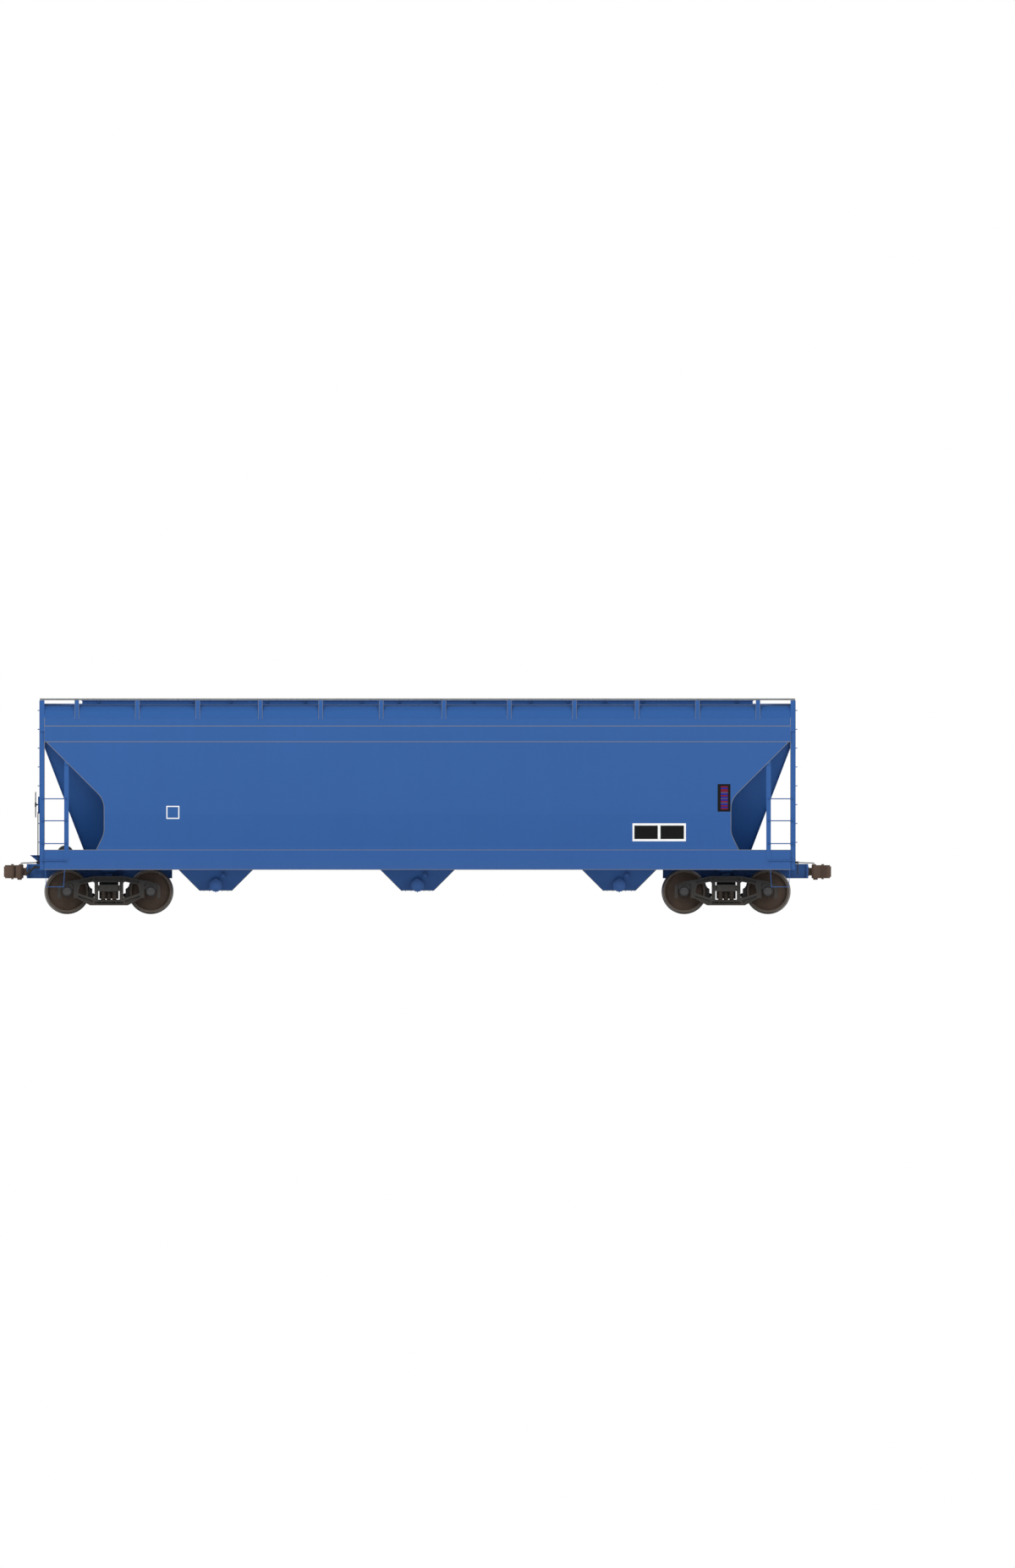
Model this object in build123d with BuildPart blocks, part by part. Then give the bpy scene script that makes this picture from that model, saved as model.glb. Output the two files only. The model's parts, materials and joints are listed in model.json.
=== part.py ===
from build123d import *
import os
from math import cos, radians, sin, sqrt

os.makedirs("parts", exist_ok=True)

# Datum: X runs along the car with the hand-brake end at -X, Y across, Z up from the flange tips.
# Heights named h_... are measured from the rail top, as on the car's own drawing.
flange = 25.4
rail = flange

# Half widths and half lengths of the body
body_half = 1625.6
strap_t = 8.0
sheet_half = body_half - strap_t
sill_half = 1560.0
roof_flat_half = 1293.0
post_x = 8020.0
post_depth = 99.0
body_x = post_x - post_depth
striker_x = 8298.0
sheet = 6.0
plate = 8.0
sheet_foot_half = sill_half - plate

# Heights, each level from one below it
tread_r = 457.2
centre_plate_rise = 197.0
centre_plate_depth = 80.8
stub_depth = 306.0
coupler_rise = 141.0
outlet_drop = 260.0
sill_lift = 180.0
sill_depth = 422.0
taper_lift = 90.0
taper_depth = 683.0
wall_depth = 2038.0
shoulder_rise = 238.0
crown_rise = 60.0
board_rise = 408.0
board_depth = 40.0
h_centre_plate = tread_r + centre_plate_rise
h_stub_foot = h_centre_plate + centre_plate_depth
h_stub_top = h_stub_foot + stub_depth
h_coupler = h_stub_foot + coupler_rise
h_outlet_foot = h_stub_foot - outlet_drop
h_sill_foot = h_stub_foot + sill_lift
h_sill_top = h_sill_foot + sill_depth
h_taper_foot = h_sill_top + taper_lift
h_taper_top = h_taper_foot + taper_depth
h_eave = h_taper_top + wall_depth
h_shoulder = h_eave + shoulder_rise
h_crown = h_shoulder + crown_rise
h_board = h_eave + board_rise
h_board_foot = h_board - board_depth

# Load space: three outlets with 45 degree slopes between them
outlet_x = 4284.0
outlet_half_length = 346.0
outlet_half_width = 760.0
hopper_drop = 76.0
slope_lip = 86.0
h_hopper_top = h_sill_top - hopper_drop
hopper_rise = h_hopper_top - h_outlet_foot
ridge_x = outlet_x / 2
h_ridge = h_outlet_foot + ridge_x - outlet_half_length
slope_lead = outlet_x + outlet_half_length - h_outlet_foot
h_end_plate = body_x - slope_lead + slope_lip

# Trough hatch along the roof
trough_half = 300.0
coaming_half = 330.0
coaming_x = 7120.0
coaming_rise = 76.0
cover_rise = 24.0
cover_count = 4
cover_gap = 40.0
cover_overhang = 22.0
cover_skirt = 44.0
hinge_out = 44.0
hinge_pitch = 2600.0
hinge_pin_r = 8.0
pin_clearance = 0.08
h_coaming = h_crown + coaming_rise
h_cover = h_coaming + cover_rise
h_hinge = h_coaming - 2
hinge_y = coaming_half + hinge_out
cover_half = coaming_half + cover_overhang
cover_pitch = (2 * coaming_x + 80) / cover_count
cover_length = cover_pitch - cover_gap

# Running gear
truck_x = 6553.0
axle_offset = 889.0
journal_y = 1003.0
bearing_r = 112.0
bearing_clearance = 0.3
frame_half = 75.0
centre_plate_r = 174.0
h_seat = tread_r - 189.0
h_spring = tread_r - 5.0

ends = [("b", -1), ("a", 1)]
sides = [("left", -1), ("right", 1)]


def slab(x, y, h, mode=Mode.ADD):
    with Locations(((x[0] + x[1]) / 2, (y[0] + y[1]) / 2, rail + (h[0] + h[1]) / 2)):
        Box(abs(x[1] - x[0]), abs(y[1] - y[0]), abs(h[1] - h[0]), mode=mode)


# Plates and blocks from an outline: seen from the side (X, h), from the end (Y, h) or from above
def side_profile(points, y, radius=0, mode=Mode.ADD):
    base = Plane(origin=(0, y[0], rail), x_dir=(1, 0, 0), z_dir=(0, -1, 0))
    with BuildSketch(base, mode=Mode.PRIVATE) as shape:
        Polygon(*points, align=None)
        if radius:
            fillet(shape.vertices(), radius)
    extrude(shape.sketch, amount=y[0] - y[1], mode=mode)


def cross_profile(points, x, mode=Mode.ADD):
    base = Plane(origin=(x[0], 0, rail), x_dir=(0, 1, 0), z_dir=(1, 0, 0))
    with BuildSketch(base, mode=Mode.PRIVATE) as shape:
        Polygon(*points, align=None)
    extrude(shape.sketch, amount=x[1] - x[0], mode=mode)


def plan_profile(points, h, mode=Mode.ADD):
    with BuildSketch(Plane.XY.offset(rail + h[0]), mode=Mode.PRIVATE) as shape:
        Polygon(*points, align=None)
    extrude(shape.sketch, amount=h[1] - h[0], mode=mode)


# Bars between two points (X, Y, h): round, or with flats when a side count is given
def rod(start, end, radius, flats=0, mode=Mode.ADD):
    foot = Vector(start[0], start[1], rail + start[2])
    head = Vector(end[0], end[1], rail + end[2])
    with BuildSketch(Plane(origin=foot, z_dir=head - foot), mode=Mode.PRIVATE) as shape:
        if flats:
            RegularPolygon(radius, flats, major_radius=False, rotation=180 / flats)
        else:
            Circle(radius)
    extrude(shape.sketch, amount=(head - foot).length, mode=mode)


# Closed outline of a plate: one face follows the points, the other lies to their right
def band(points, thickness):
    inner = []
    for i, point in enumerate(points):
        here = Vector(*point)
        spans = []
        if i > 0:
            spans.append((here - Vector(*points[i - 1])).normalized())
        if i < len(points) - 1:
            spans.append((Vector(*points[i + 1]) - here).normalized())
        normals = [Vector(span.Y, -span.X) for span in spans]
        mean = normals[0] if len(normals) == 1 else (normals[0] + normals[1]).normalized()
        reach = thickness / mean.dot(normals[0])
        inner.append((here.X + mean.X * reach, here.Y + mean.Y * reach))
    return list(points) + inner[::-1]


def mirrored(points):
    return [(-a, b) for a, b in points][::-1]


def flipped(points, sign):
    return [(sign * a, b) for a, b in points]


def placed(points, x, h, sign=1):
    return [(x + sign * a, h + b) for a, b in points]


def save(piece, label):
    piece.part.label = label
    export_step(piece.part, f"parts/{label}.step")


# Outlines shared by several pieces, as (distance from the centre plane, height)
shoulder_half = 1310.0
haunch_half = 1466.0
h_haunch = h_shoulder - 86.0
roof_joint = 5.0
room_gap = 14.0
sheet_outline = [
    (sheet_half, h_eave - roof_joint),
    (sheet_half, h_taper_top),
    (sheet_foot_half, h_taper_foot),
    (sheet_foot_half, h_hopper_top),
]
roof_outline = [
    (trough_half, h_crown),
    (shoulder_half, h_shoulder),
    (haunch_half, h_haunch),
    (sheet_half, h_eave),
]
inside_half = sheet_half - sheet
inside_foot = sheet_foot_half - sheet
inside_outline = [
    (inside_foot, h_outlet_foot),
    (inside_foot, h_taper_foot),
    (inside_half, h_taper_top),
    (inside_half, h_eave - room_gap),
    (haunch_half - room_gap / 2, h_haunch - room_gap),
    (shoulder_half - room_gap / 2, h_shoulder - room_gap),
    (0.0, h_crown - room_gap),
]
room = inside_outline + mirrored(inside_outline)[1:]

# Side sheets: a lapped upper band, and ends that follow the end slopes and then hang plumb
band_lap = 4.0
band_drop = 179.0
band_depth = 333.0
edge_margin = 95.0
hang_x = 6656.0
hang_foot_rise = 343.0
edge_foot_x = 6823.0
knee_r = 440.0
h_band_top = h_eave - band_drop
h_band_foot = h_band_top - band_depth
edge_lead = slope_lead + edge_margin
sheet_edge = [
    (h_band_foot + edge_lead, h_band_foot),
    (hang_x, hang_x - edge_lead),
    (hang_x, h_sill_top + hang_foot_rise),
    (edge_foot_x, h_sill_top),
]
beyond_edge = [
    (edge_foot_x, h_sill_top),
    (edge_foot_x, h_hopper_top - 60),
    (post_x, h_hopper_top - 60),
    (post_x, h_band_foot),
    (h_band_foot + edge_lead, h_band_foot),
]
for name, s in sides:
    with BuildPart() as side_sheet:
        outer = flipped(sheet_outline, s)
        inner = [(s * (y - sheet), h) for y, h in sheet_outline]
        cross_profile(outer + inner[::-1], (-body_x, body_x))
        for e in (-1, 1):
            with BuildSketch(Plane(origin=(0, 0, rail), x_dir=(1, 0, 0), z_dir=(0, -1, 0))):
                with BuildLine():
                    FilletPolyline(*flipped(sheet_edge, e), radius=(knee_r, knee_r))
                    Polyline(*flipped(beyond_edge, e))
                make_face()
            extrude(amount=-2 * s * sheet_half, mode=Mode.SUBTRACT)
        slab((-body_x, body_x), (s * sheet_half, s * (sheet_half + band_lap)), (h_band_foot, h_band_top))
    save(side_sheet, f"side_sheet_{name}")

# Roof: shouldered arch with rolled bends, open along the trough
shoulder_r = 260.0
haunch_r = 130.0
with BuildPart() as roof:
    for s in (-1, 1):
        with BuildSketch(Plane(origin=(-body_x, 0, rail), x_dir=(0, 1, 0), z_dir=(1, 0, 0))):
            with BuildLine():
                outer = flipped(roof_outline, s)
                under = flipped(band(roof_outline, sheet)[len(roof_outline):][::-1], s)
                FilletPolyline(*outer, radius=(shoulder_r, haunch_r))
                FilletPolyline(*under, radius=(shoulder_r - sheet, haunch_r - sheet))
                Line(outer[0], under[0])
                Line(outer[-1], under[-1])
            make_face()
        extrude(amount=2 * body_x)
    for e in (-1, 1):
        slab((e * coaming_x, e * body_x), (-trough_half, trough_half), (h_crown - sheet, h_crown))
save(roof, "roof_sheet")

# Coaming round the trough, with a cross tie under each joint between covers and the hinge pins
tie_half = 60.0
lip_half = 10.0
cheek_pitch = 52.0
cheek_t = 10.0
coaming_inner = coaming_half - plate
cheek = [
    (coaming_half, h_crown),
    (hinge_y + 14, h_crown + 24),
    (hinge_y + 14, h_hinge + 14),
    (hinge_y - 14, h_hinge + 14),
    (hinge_y - 18, h_hinge - 20),
    (coaming_half, h_hinge - 30),
]
with BuildPart() as coaming:
    slab((-coaming_x, coaming_x), (-coaming_half, coaming_half), (h_crown, h_coaming))
    slab(
        (-coaming_x + plate, coaming_x - plate),
        (-coaming_inner, coaming_inner),
        (h_crown - plate, h_coaming + plate),
        mode=Mode.SUBTRACT,
    )
    for i in range(1, cover_count):
        x = (i - cover_count / 2) * cover_pitch
        slab(
            (x - tie_half, x + tie_half), (-coaming_inner, coaming_inner),
            (h_crown, h_cover - cover_skirt - 6))
        slab((x - lip_half, x + lip_half), (-coaming_inner, coaming_inner), (h_crown, h_coaming))
    for i in range(cover_count):
        for k in (-0.5, 0.5):
            x = (i + 0.5 - cover_count / 2) * cover_pitch + k * hinge_pitch
            for m in (-0.5, 0.5):
                cross_profile(cheek, (x + m * cheek_pitch - cheek_t / 2, x + m * cheek_pitch + cheek_t / 2))
            reach = (cheek_pitch + cheek_t) / 2
            rod((x - reach, hinge_y, h_hinge), (x + reach, hinge_y, h_hinge), hinge_pin_r)
save(coaming, "hatch_coaming")

# Hatch covers: ribbed pans with two hinge lugs each
cover_t = 6.0
rib_count = 9
rib_pitch = 400.0
rib_half = 25.0
rib_rise = 8.0
lug_half = 18.0
for i in range(cover_count):
    with BuildPart() as cover:
        x = (i + 0.5 - cover_count / 2) * cover_pitch
        half = cover_length / 2
        slab((x - half, x + half), (-cover_half, cover_half), (h_cover - cover_skirt, h_cover))
        slab(
            (x - half + cover_t, x + half - cover_t),
            (-cover_half + cover_t, cover_half - cover_t),
            (h_cover - cover_skirt - cover_t, h_cover - cover_t),
            mode=Mode.SUBTRACT,
        )
        for s in (-1, 1):
            slab(
                (x - half - plate, x + half + plate),
                (s * (coaming_inner - 7), s * (coaming_half + 7)),
                (h_cover - cover_skirt - plate, h_coaming + 5),
                mode=Mode.SUBTRACT,
            )
        for j in range(rib_count):
            rib = x + (j - (rib_count - 1) / 2) * rib_pitch
            slab(
                (rib - rib_half, rib + rib_half), (-cover_half + 40, cover_half - 40),
                (h_cover, h_cover + rib_rise))
        for k in (-0.5, 0.5):
            lug = x + k * hinge_pitch
            slab(
                (lug - lug_half, lug + lug_half), (cover_half - 3, hinge_y + 14),
                (h_hinge - 13, h_hinge + 13))
            rod(
                (lug - lug_half - 1, hinge_y, h_hinge),
                (lug + lug_half + 1, hinge_y, h_hinge),
                hinge_pin_r + pin_clearance,
                mode=Mode.SUBTRACT,
            )
    save(cover, f"hatch_cover_{i + 1}")

# Running boards: bar gratings along both sides of the trough and across both ends
board_inner = 690.0
board_bar = 8.0
board_cells = 20
board_rows = 3
end_board_length = 500.0
end_board_cells = 4
with BuildPart() as boards:
    with BuildSketch(Plane.XY.offset(rail + h_board_foot)):
        Rectangle(2 * post_x, 2 * roof_flat_half)
        Rectangle(2 * (post_x - end_board_length), 2 * board_inner, mode=Mode.SUBTRACT)
        cell_x = (2 * post_x - board_bar) / board_cells
        cell_y = (roof_flat_half - board_inner - board_bar) / board_rows
        end_cell = end_board_length / end_board_cells
        for s in (-1, 1):
            with Locations((0, s * (roof_flat_half + board_inner) / 2)):
                with GridLocations(cell_x, cell_y, board_cells, board_rows):
                    Rectangle(cell_x - board_bar, cell_y - board_bar, mode=Mode.SUBTRACT)
            with Locations((s * (post_x - end_board_length / 2), 0)):
                with GridLocations(end_cell, 2 * board_inner, end_board_cells, 1):
                    Rectangle(end_cell - board_bar, 2 * board_inner, mode=Mode.SUBTRACT)
    extrude(amount=board_depth)
save(boards, "running_boards")

# Board brackets: a strap down each shoulder, a web on the roof and a pad under the boards
bracket_x = [-7235, -5951, -4667, -3338, -2055, -770, 559, 1951, 3334, 4663, 5947, 7231]
bracket_half = 40.0
web_half = 4.0
web_inner = 700.0
strap_lap = 27.0
strap_top_half = roof_flat_half + 20
web_floor = h_crown - (web_inner - trough_half) * crown_rise / (shoulder_half - trough_half) + 2
strap = [
    (strap_top_half, h_board_foot),
    (strap_top_half + 12.6, h_board_foot),
    (body_half, h_eave),
    (body_half, h_eave - strap_lap),
    (sheet_half, h_eave - strap_lap),
    (sheet_half, h_eave + 4),
]
web = [
    (sheet_half - 9.6, h_eave + 14),
    (strap_top_half + 7, h_board_foot - 6),
    (web_inner, h_board_foot - 6),
    (web_inner, web_floor),
    (shoulder_half, h_shoulder + 2),
    (haunch_half, h_haunch + 2),
]
pad = [
    (web_inner, h_board_foot - plate),
    (strap_top_half + 12, h_board_foot - plate),
    (strap_top_half + 7, h_board_foot),
    (web_inner, h_board_foot),
]
with BuildPart() as brackets:
    for outline, half in ((strap, bracket_half), (web, web_half), (pad, bracket_half)):
        stations = [Plane(origin=(x - half, 0, rail), x_dir=(0, 1, 0), z_dir=(1, 0, 0)) for x in bracket_x]
        with BuildSketch(*stations):
            Polygon(*outline, align=None)
            Polygon(*mirrored(outline), align=None)
        extrude(amount=2 * half)
save(brackets, "board_brackets")

# End frames: shouldered end plate with a deep rim, and corner posts down to the sill
post_step = 30.0
post_flange = 60.0
post_head_half = sheet_half - post_step
post_foot_half = sill_half - 34.0
post_line = [
    (post_head_half, h_end_plate),
    (post_head_half, h_taper_top),
    (post_foot_half, h_taper_foot),
    (post_foot_half, h_sill_foot),
]
for name, e in ends:
    with BuildPart() as end_frame:
        shell = [(sheet_half, h_end_plate), (sheet_half, h_eave), (roof_flat_half + 24, h_board_foot - 1)]
        cross_profile(shell + mirrored(shell), (e * body_x, e * post_x))
        hollow = [
            (sheet_half - plate, h_end_plate + plate),
            (sheet_half - plate, h_eave - 3),
            (roof_flat_half + 20, h_board_foot - plate - 1),
        ]
        cross_profile(
            hollow + mirrored(hollow), (e * (body_x + plate), e * (post_x + plate)), mode=Mode.SUBTRACT)
        for s in (-1, 1):
            for width, reach in ((plate, post_depth), (post_flange, plate)):
                leg = post_line + [(y - width, h) for y, h in post_line[::-1]]
                cross_profile(flipped(leg, s), (e * body_x, e * (body_x + reach)))
    save(end_frame, f"end_frame_{name}")

# End slope sheets
with BuildPart() as slopes:
    for e in (-1, 1):
        run = [
            (body_x, h_end_plate - 1),
            (body_x, body_x - slope_lead),
            (h_hopper_top + slope_lead, h_hopper_top),
        ]
        side_profile(flipped(band(run, sheet), e), (-body_half, body_half))
    cross_profile(room, (-body_x, body_x), mode=Mode.INTERSECT)
save(slopes, "slope_sheets")

# Ridges between the hoppers and the partitions standing on them
partition_t = 8.0
with BuildPart() as partitions:
    for e in (-1, 1):
        ridge = [
            (e * ridge_x - (h_ridge - h_hopper_top), h_hopper_top),
            (e * ridge_x, h_ridge),
            (e * ridge_x + (h_ridge - h_hopper_top), h_hopper_top),
        ]
        side_profile(band(ridge, sheet), (-body_half, body_half))
        slab(
            (e * ridge_x - partition_t / 2, e * ridge_x + partition_t / 2),
            (-body_half, body_half),
            (h_ridge - sheet, h_crown - room_gap - 2),
        )
    cross_profile(room, (-body_x, body_x), mode=Mode.INTERSECT)
save(partitions, "partitions")

# Outlet tubes across each hopper, with bolting flanges and the hinge ears of the caps
tube_r = 108.0
tube_wall = 8.0
tube_half = 1060.0
tube_lift = 110.0
tube_flange = 22.0
tube_flange_t = 14.0
h_tube = h_outlet_foot + tube_lift
h_cap_hinge = h_tube + tube_r + 32
cap_hinge_out = 14.0
outlets = (-outlet_x, 0.0, outlet_x)
with BuildPart() as tubes:
    for x in outlets:
        rod((x, -tube_half, h_tube), (x, tube_half, h_tube), tube_r)
        for s in (-1, 1):
            inner = (x, s * (tube_half - tube_flange_t), h_tube)
            rod(inner, (x, s * tube_half, h_tube), tube_r + tube_flange, flats=8)
            for k in (-1, 1):
                slab(
                    (x + k * 26 - 5, x + k * 26 + 5),
                    (s * (tube_half - tube_flange_t), s * (tube_half + 30)),
                    (h_tube + tube_r + 12, h_cap_hinge + 16),
                )
            pin_y = s * (tube_half + cap_hinge_out)
            rod((x - 31, pin_y, h_cap_hinge), (x + 31, pin_y, h_cap_hinge), hinge_pin_r)
        rod((x, -tube_half - 1, h_tube), (x, tube_half + 1, h_tube), tube_r - tube_wall, mode=Mode.SUBTRACT)
        slab((x - 60, x + 60), (-700, 700), (h_tube + 60, h_tube + tube_r + 22), mode=Mode.SUBTRACT)
save(tubes, "outlet_tubes")

# Hoppers: pyramids at 45 degrees down to the outlets
skin = sheet * sqrt(2)
with BuildPart() as hoppers:
    for x in outlets:
        for inset, lead, mode in ((0.0, 0.0, Mode.ADD), (skin, 1.0, Mode.SUBTRACT)):
            with BuildSketch(Plane.XY.offset(rail + h_outlet_foot - lead)):
                with Locations((x, 0)):
                    Rectangle(2 * (outlet_half_length - inset - lead), 2 * (outlet_half_width - inset - lead))
            extrude(amount=hopper_rise + 2 * lead, taper=-45, mode=mode)
        rod((x, -tube_half, h_tube), (x, tube_half, h_tube), tube_r + 0.3, mode=Mode.SUBTRACT)
save(hoppers, "hoppers")

# Outlet caps hinged above each tube end
cap_t = 12.0
cap_face = tube_half + 1.0
cap_lug_half = 17.0
cap_barrel_r = 12.0
for i, x in enumerate(outlets):
    for name, s in sides:
        with BuildPart() as cap:
            rod((x, s * cap_face, h_tube), (x, s * (cap_face + cap_t), h_tube), tube_r + 6)
            rod(
                (x, s * (cap_face + cap_t), h_tube), (x, s * (cap_face + 2 * cap_t), h_tube), tube_r - 30,
                flats=8)
            lug = (x - cap_lug_half, x + cap_lug_half)
            pin_y = s * (tube_half + cap_hinge_out)
            slab(lug, (s * cap_face, s * (cap_face + cap_t)), (h_tube + tube_r - 4, h_cap_hinge))
            rod((lug[0], pin_y, h_cap_hinge), (lug[1], pin_y, h_cap_hinge), cap_barrel_r)
            rod(
                (lug[0] - 1, pin_y, h_cap_hinge),
                (lug[1] + 1, pin_y, h_cap_hinge),
                hinge_pin_r + pin_clearance,
                mode=Mode.SUBTRACT,
            )
            slab(
                (x - 12, x + 12), (s * cap_face, s * (cap_face + 40)),
                (h_tube - tube_r - 40, h_tube - tube_r + 10))
        save(cap, f"outlet_cap_{i + 1}_{name}")

# Side sills: channels with the foot flange turned inwards
sill_flange = 90.0
sill_channel = [
    (sill_half - sill_flange, h_sill_foot),
    (sill_half, h_sill_foot),
    (sill_half, h_sill_top),
    (sheet_foot_half, h_sill_top),
    (sheet_foot_half, h_sill_foot + plate),
    (sill_half - sill_flange, h_sill_foot + plate),
]
with BuildPart() as sills:
    for s in (-1, 1):
        cross_profile(flipped(sill_channel, s), (-body_x, body_x))
save(sills, "side_sills")

# Stub centre sills with the striker at the outer end and a crossing hole for the train line
stub_inner_x = 5209.0
stub_half = 176.0
stub_web = 12.0
stub_flange = 50.0
striker_t = 40.0
striker_wing = 60.0
throat_half = 125.0
shank_high = 164.0
shank_wide = 124.0
pipe_r = 21.0
pipe_drop = 73.0
pipe_cross_x = 7700.0
pipe_clearance = 6.0
h_pipe = h_stub_top - pipe_drop
with BuildPart() as stubs:
    for e in (-1, 1):
        slab((e * stub_inner_x, e * striker_x), (-stub_half, stub_half), (h_stub_foot, h_stub_top))
        slab(
            (e * (stub_inner_x - stub_web), e * (striker_x + stub_web)),
            (-stub_half + stub_web, stub_half - stub_web),
            (h_stub_foot - stub_web, h_stub_top - stub_web),
            mode=Mode.SUBTRACT,
        )
        for s in (-1, 1):
            slab(
                (e * stub_inner_x, e * (striker_x - striker_t)),
                (s * stub_half, s * (stub_half + stub_flange)),
                (h_stub_foot, h_stub_foot + stub_web),
            )
        slab(
            (e * (striker_x - striker_t), e * striker_x),
            (-stub_half - striker_wing, stub_half + striker_wing),
            (h_stub_foot, h_stub_top),
        )
        slab(
            (e * (striker_x - striker_t - 5), e * (striker_x + 5)),
            (-throat_half, throat_half),
            (h_coupler - shank_high / 2, h_coupler + shank_high / 2 + 18),
            mode=Mode.SUBTRACT,
        )
    rod(
        (-pipe_cross_x, -stub_half - 1, h_pipe),
        (-pipe_cross_x, stub_half + 1, h_pipe),
        pipe_r + pipe_clearance,
        flats=8,
        mode=Mode.SUBTRACT,
    )
save(stubs, "stub_sills")

# Body bolsters with centre plates and side bearing pads
bolster_half = 150.0
bolster_web_out = 130.0
bolster_t = 10.0
bolster_knee_y = 560.0
bolster_tip_y = 1120.0
bolster_end_y = sheet_foot_half - sheet
pad_y = (585.0, 685.0)
pad_half = 80.0
pipe_y = 1430.0
h_bolster_foot = h_stub_foot + 65.0
h_bolster_tip = h_sill_foot + 15.0
h_bolster_top = h_stub_top + 109.0
pad_slope = (h_bolster_tip - h_bolster_foot) / (bolster_tip_y - bolster_knee_y)
bolster_foot = [
    (stub_half, h_bolster_foot),
    (bolster_knee_y, h_bolster_foot),
    (bolster_tip_y, h_bolster_tip),
    (bolster_end_y, h_bolster_tip),
]
bolster_web = bolster_foot + [(bolster_end_y, h_bolster_top), (stub_half, h_bolster_top)]
bolster_plate = bolster_foot + [(y, h + bolster_t) for y, h in bolster_foot[::-1]]
bearing_pad = [
    (pad_y[0], h_bolster_foot - 10),
    (pad_y[1], h_bolster_foot - 10),
    (pad_y[1], h_bolster_foot + (pad_y[1] - bolster_knee_y) * pad_slope),
    (pad_y[0], h_bolster_foot + (pad_y[0] - bolster_knee_y) * pad_slope),
]
with BuildPart() as bolsters:
    for e in (-1, 1):
        x = e * truck_x
        for s in (-1, 1):
            for k in (-1, 1):
                near = x + k * bolster_web_out
                cross_profile(flipped(bolster_web, s), (near, near - k * bolster_t))
            cross_profile(flipped(bolster_plate, s), (x - bolster_half, x + bolster_half))
            cross_profile(flipped(bearing_pad, s), (x - pad_half, x + pad_half))
        rod(
            (x - bolster_half, pipe_y, h_pipe),
            (x + bolster_half, pipe_y, h_pipe),
            pipe_r + pipe_clearance,
            flats=8,
            mode=Mode.SUBTRACT,
        )
        top = (h_bolster_top, h_bolster_top + bolster_t)
        slab((x - bolster_half, x + bolster_half), (-bolster_end_y, bolster_end_y), top)
        slab(
            (x - bolster_web_out, x + bolster_web_out),
            (-stub_half, stub_half),
            (h_stub_top, h_bolster_top),
        )
        slab(
            (x - 220, x + 220), (-stub_half + stub_web, stub_half - stub_web),
            (h_stub_foot, h_stub_foot + 40))
        with Locations((x, 0, rail + (h_centre_plate + h_stub_foot) / 2)):
            Cylinder(centre_plate_r, centre_plate_depth)
save(bolsters, "body_bolsters")

# End sills and shear plates
end_sill_drop = 144.0
end_sill_depth = 170.0
end_sill_flange = 91.0
end_sill_half = sill_half - 94.0
h_end_sill_top = h_sill_top - end_sill_drop
h_end_sill_foot = h_end_sill_top - end_sill_depth
h_deck = h_stub_top + plate
end_channel = [
    (post_x, h_end_sill_foot),
    (post_x, h_end_sill_top),
    (post_x - end_sill_flange, h_end_sill_top),
    (post_x - end_sill_flange, h_end_sill_top - plate),
    (post_x - plate, h_end_sill_top - plate),
    (post_x - plate, h_end_sill_foot),
]
with BuildPart() as end_sills:
    for e in (-1, 1):
        side_profile(flipped(end_channel, e), (-end_sill_half, end_sill_half))
        slab(
            (e * (post_x - plate - 3), e * (post_x + 1)),
            (-stub_half - 2, stub_half + 2),
            (h_end_sill_foot - 5, h_stub_top),
            mode=Mode.SUBTRACT,
        )
        slab(
            (e * (truck_x + bolster_half + 1), e * (post_x - plate)),
            (-end_sill_half + 6, end_sill_half - 6),
            (h_stub_top, h_deck),
        )
save(end_sills, "end_sills")

# V braces at both ends: flanged legs from the top corners down to the centre sill
leg_low = Vector(210.0, 1247.0)
leg_high = Vector(1358.0, 3493.0)
leg_dir = (leg_high - leg_low).normalized()
leg_foot_x = 7069.0
leg_back_x = 6720.0
leg_head_drop = 288.0
leg_flange_half = 56.0
leg_flange_t = 12.0
leg_web_half = 5.0
leg_lean = (body_x - leg_foot_x) / (h_end_plate - leg_head_drop - h_sill_top)
h_leg_base = h_end_sill_top - 3
leg_front = [
    (leg_foot_x - (h_sill_top - h_leg_base) * leg_lean, h_leg_base),
    (body_x, h_end_plate - leg_head_drop),
]
leg_back = [
    (body_x, body_x - slope_lead - 3),
    (leg_back_x, leg_back_x - slope_lead - 3),
    (leg_back_x, h_leg_base),
]
leg_face = leg_front + [(body_x, h_end_plate + 48)]
leg_rim = leg_face + [(x + leg_flange_t, h) for x, h in leg_face[::-1]]
brace_half = post_head_half - post_flange - 0.6
with BuildPart() as braces:
    for e in (-1, 1):
        for s in (-1, 1):
            climb = Vector(0, s * leg_dir.X, leg_dir.Y)
            foot = Vector(0, s * leg_low.X, rail + leg_low.Y)
            leg_plane = Plane(origin=foot, x_dir=(1, 0, 0), z_dir=Vector(1, 0, 0).cross(climb))
            for outline, half in ((leg_front + leg_back, leg_web_half), (leg_rim, leg_flange_half)):
                with BuildSketch(leg_plane):
                    Polygon(*[(e * x, (h - leg_low.Y) / leg_dir.Y) for x, h in outline], align=None)
                extrude(amount=half, both=True)
    limits = [
        (-brace_half, h_end_sill_top),
        (brace_half, h_end_sill_top),
        (brace_half, h_end_plate - 1),
        (-brace_half, h_end_plate - 1),
    ]
    cross_profile(limits, (-post_x, post_x), mode=Mode.INTERSECT)
save(braces, "v_braces")

# Side ladders at the four corners: an inner stile, and rungs across to the corner post
stile_x = 7406.0
stile_width = 98.0
stile_foot_half = sill_half + 8.0
stile_foot_drop = 282.0
stile_top_drop = 908.0
rung_r = 11.0
rung_out = 4.0
side_rungs = [2423.9, 1956.9, 1471.9, 1112.7]


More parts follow.
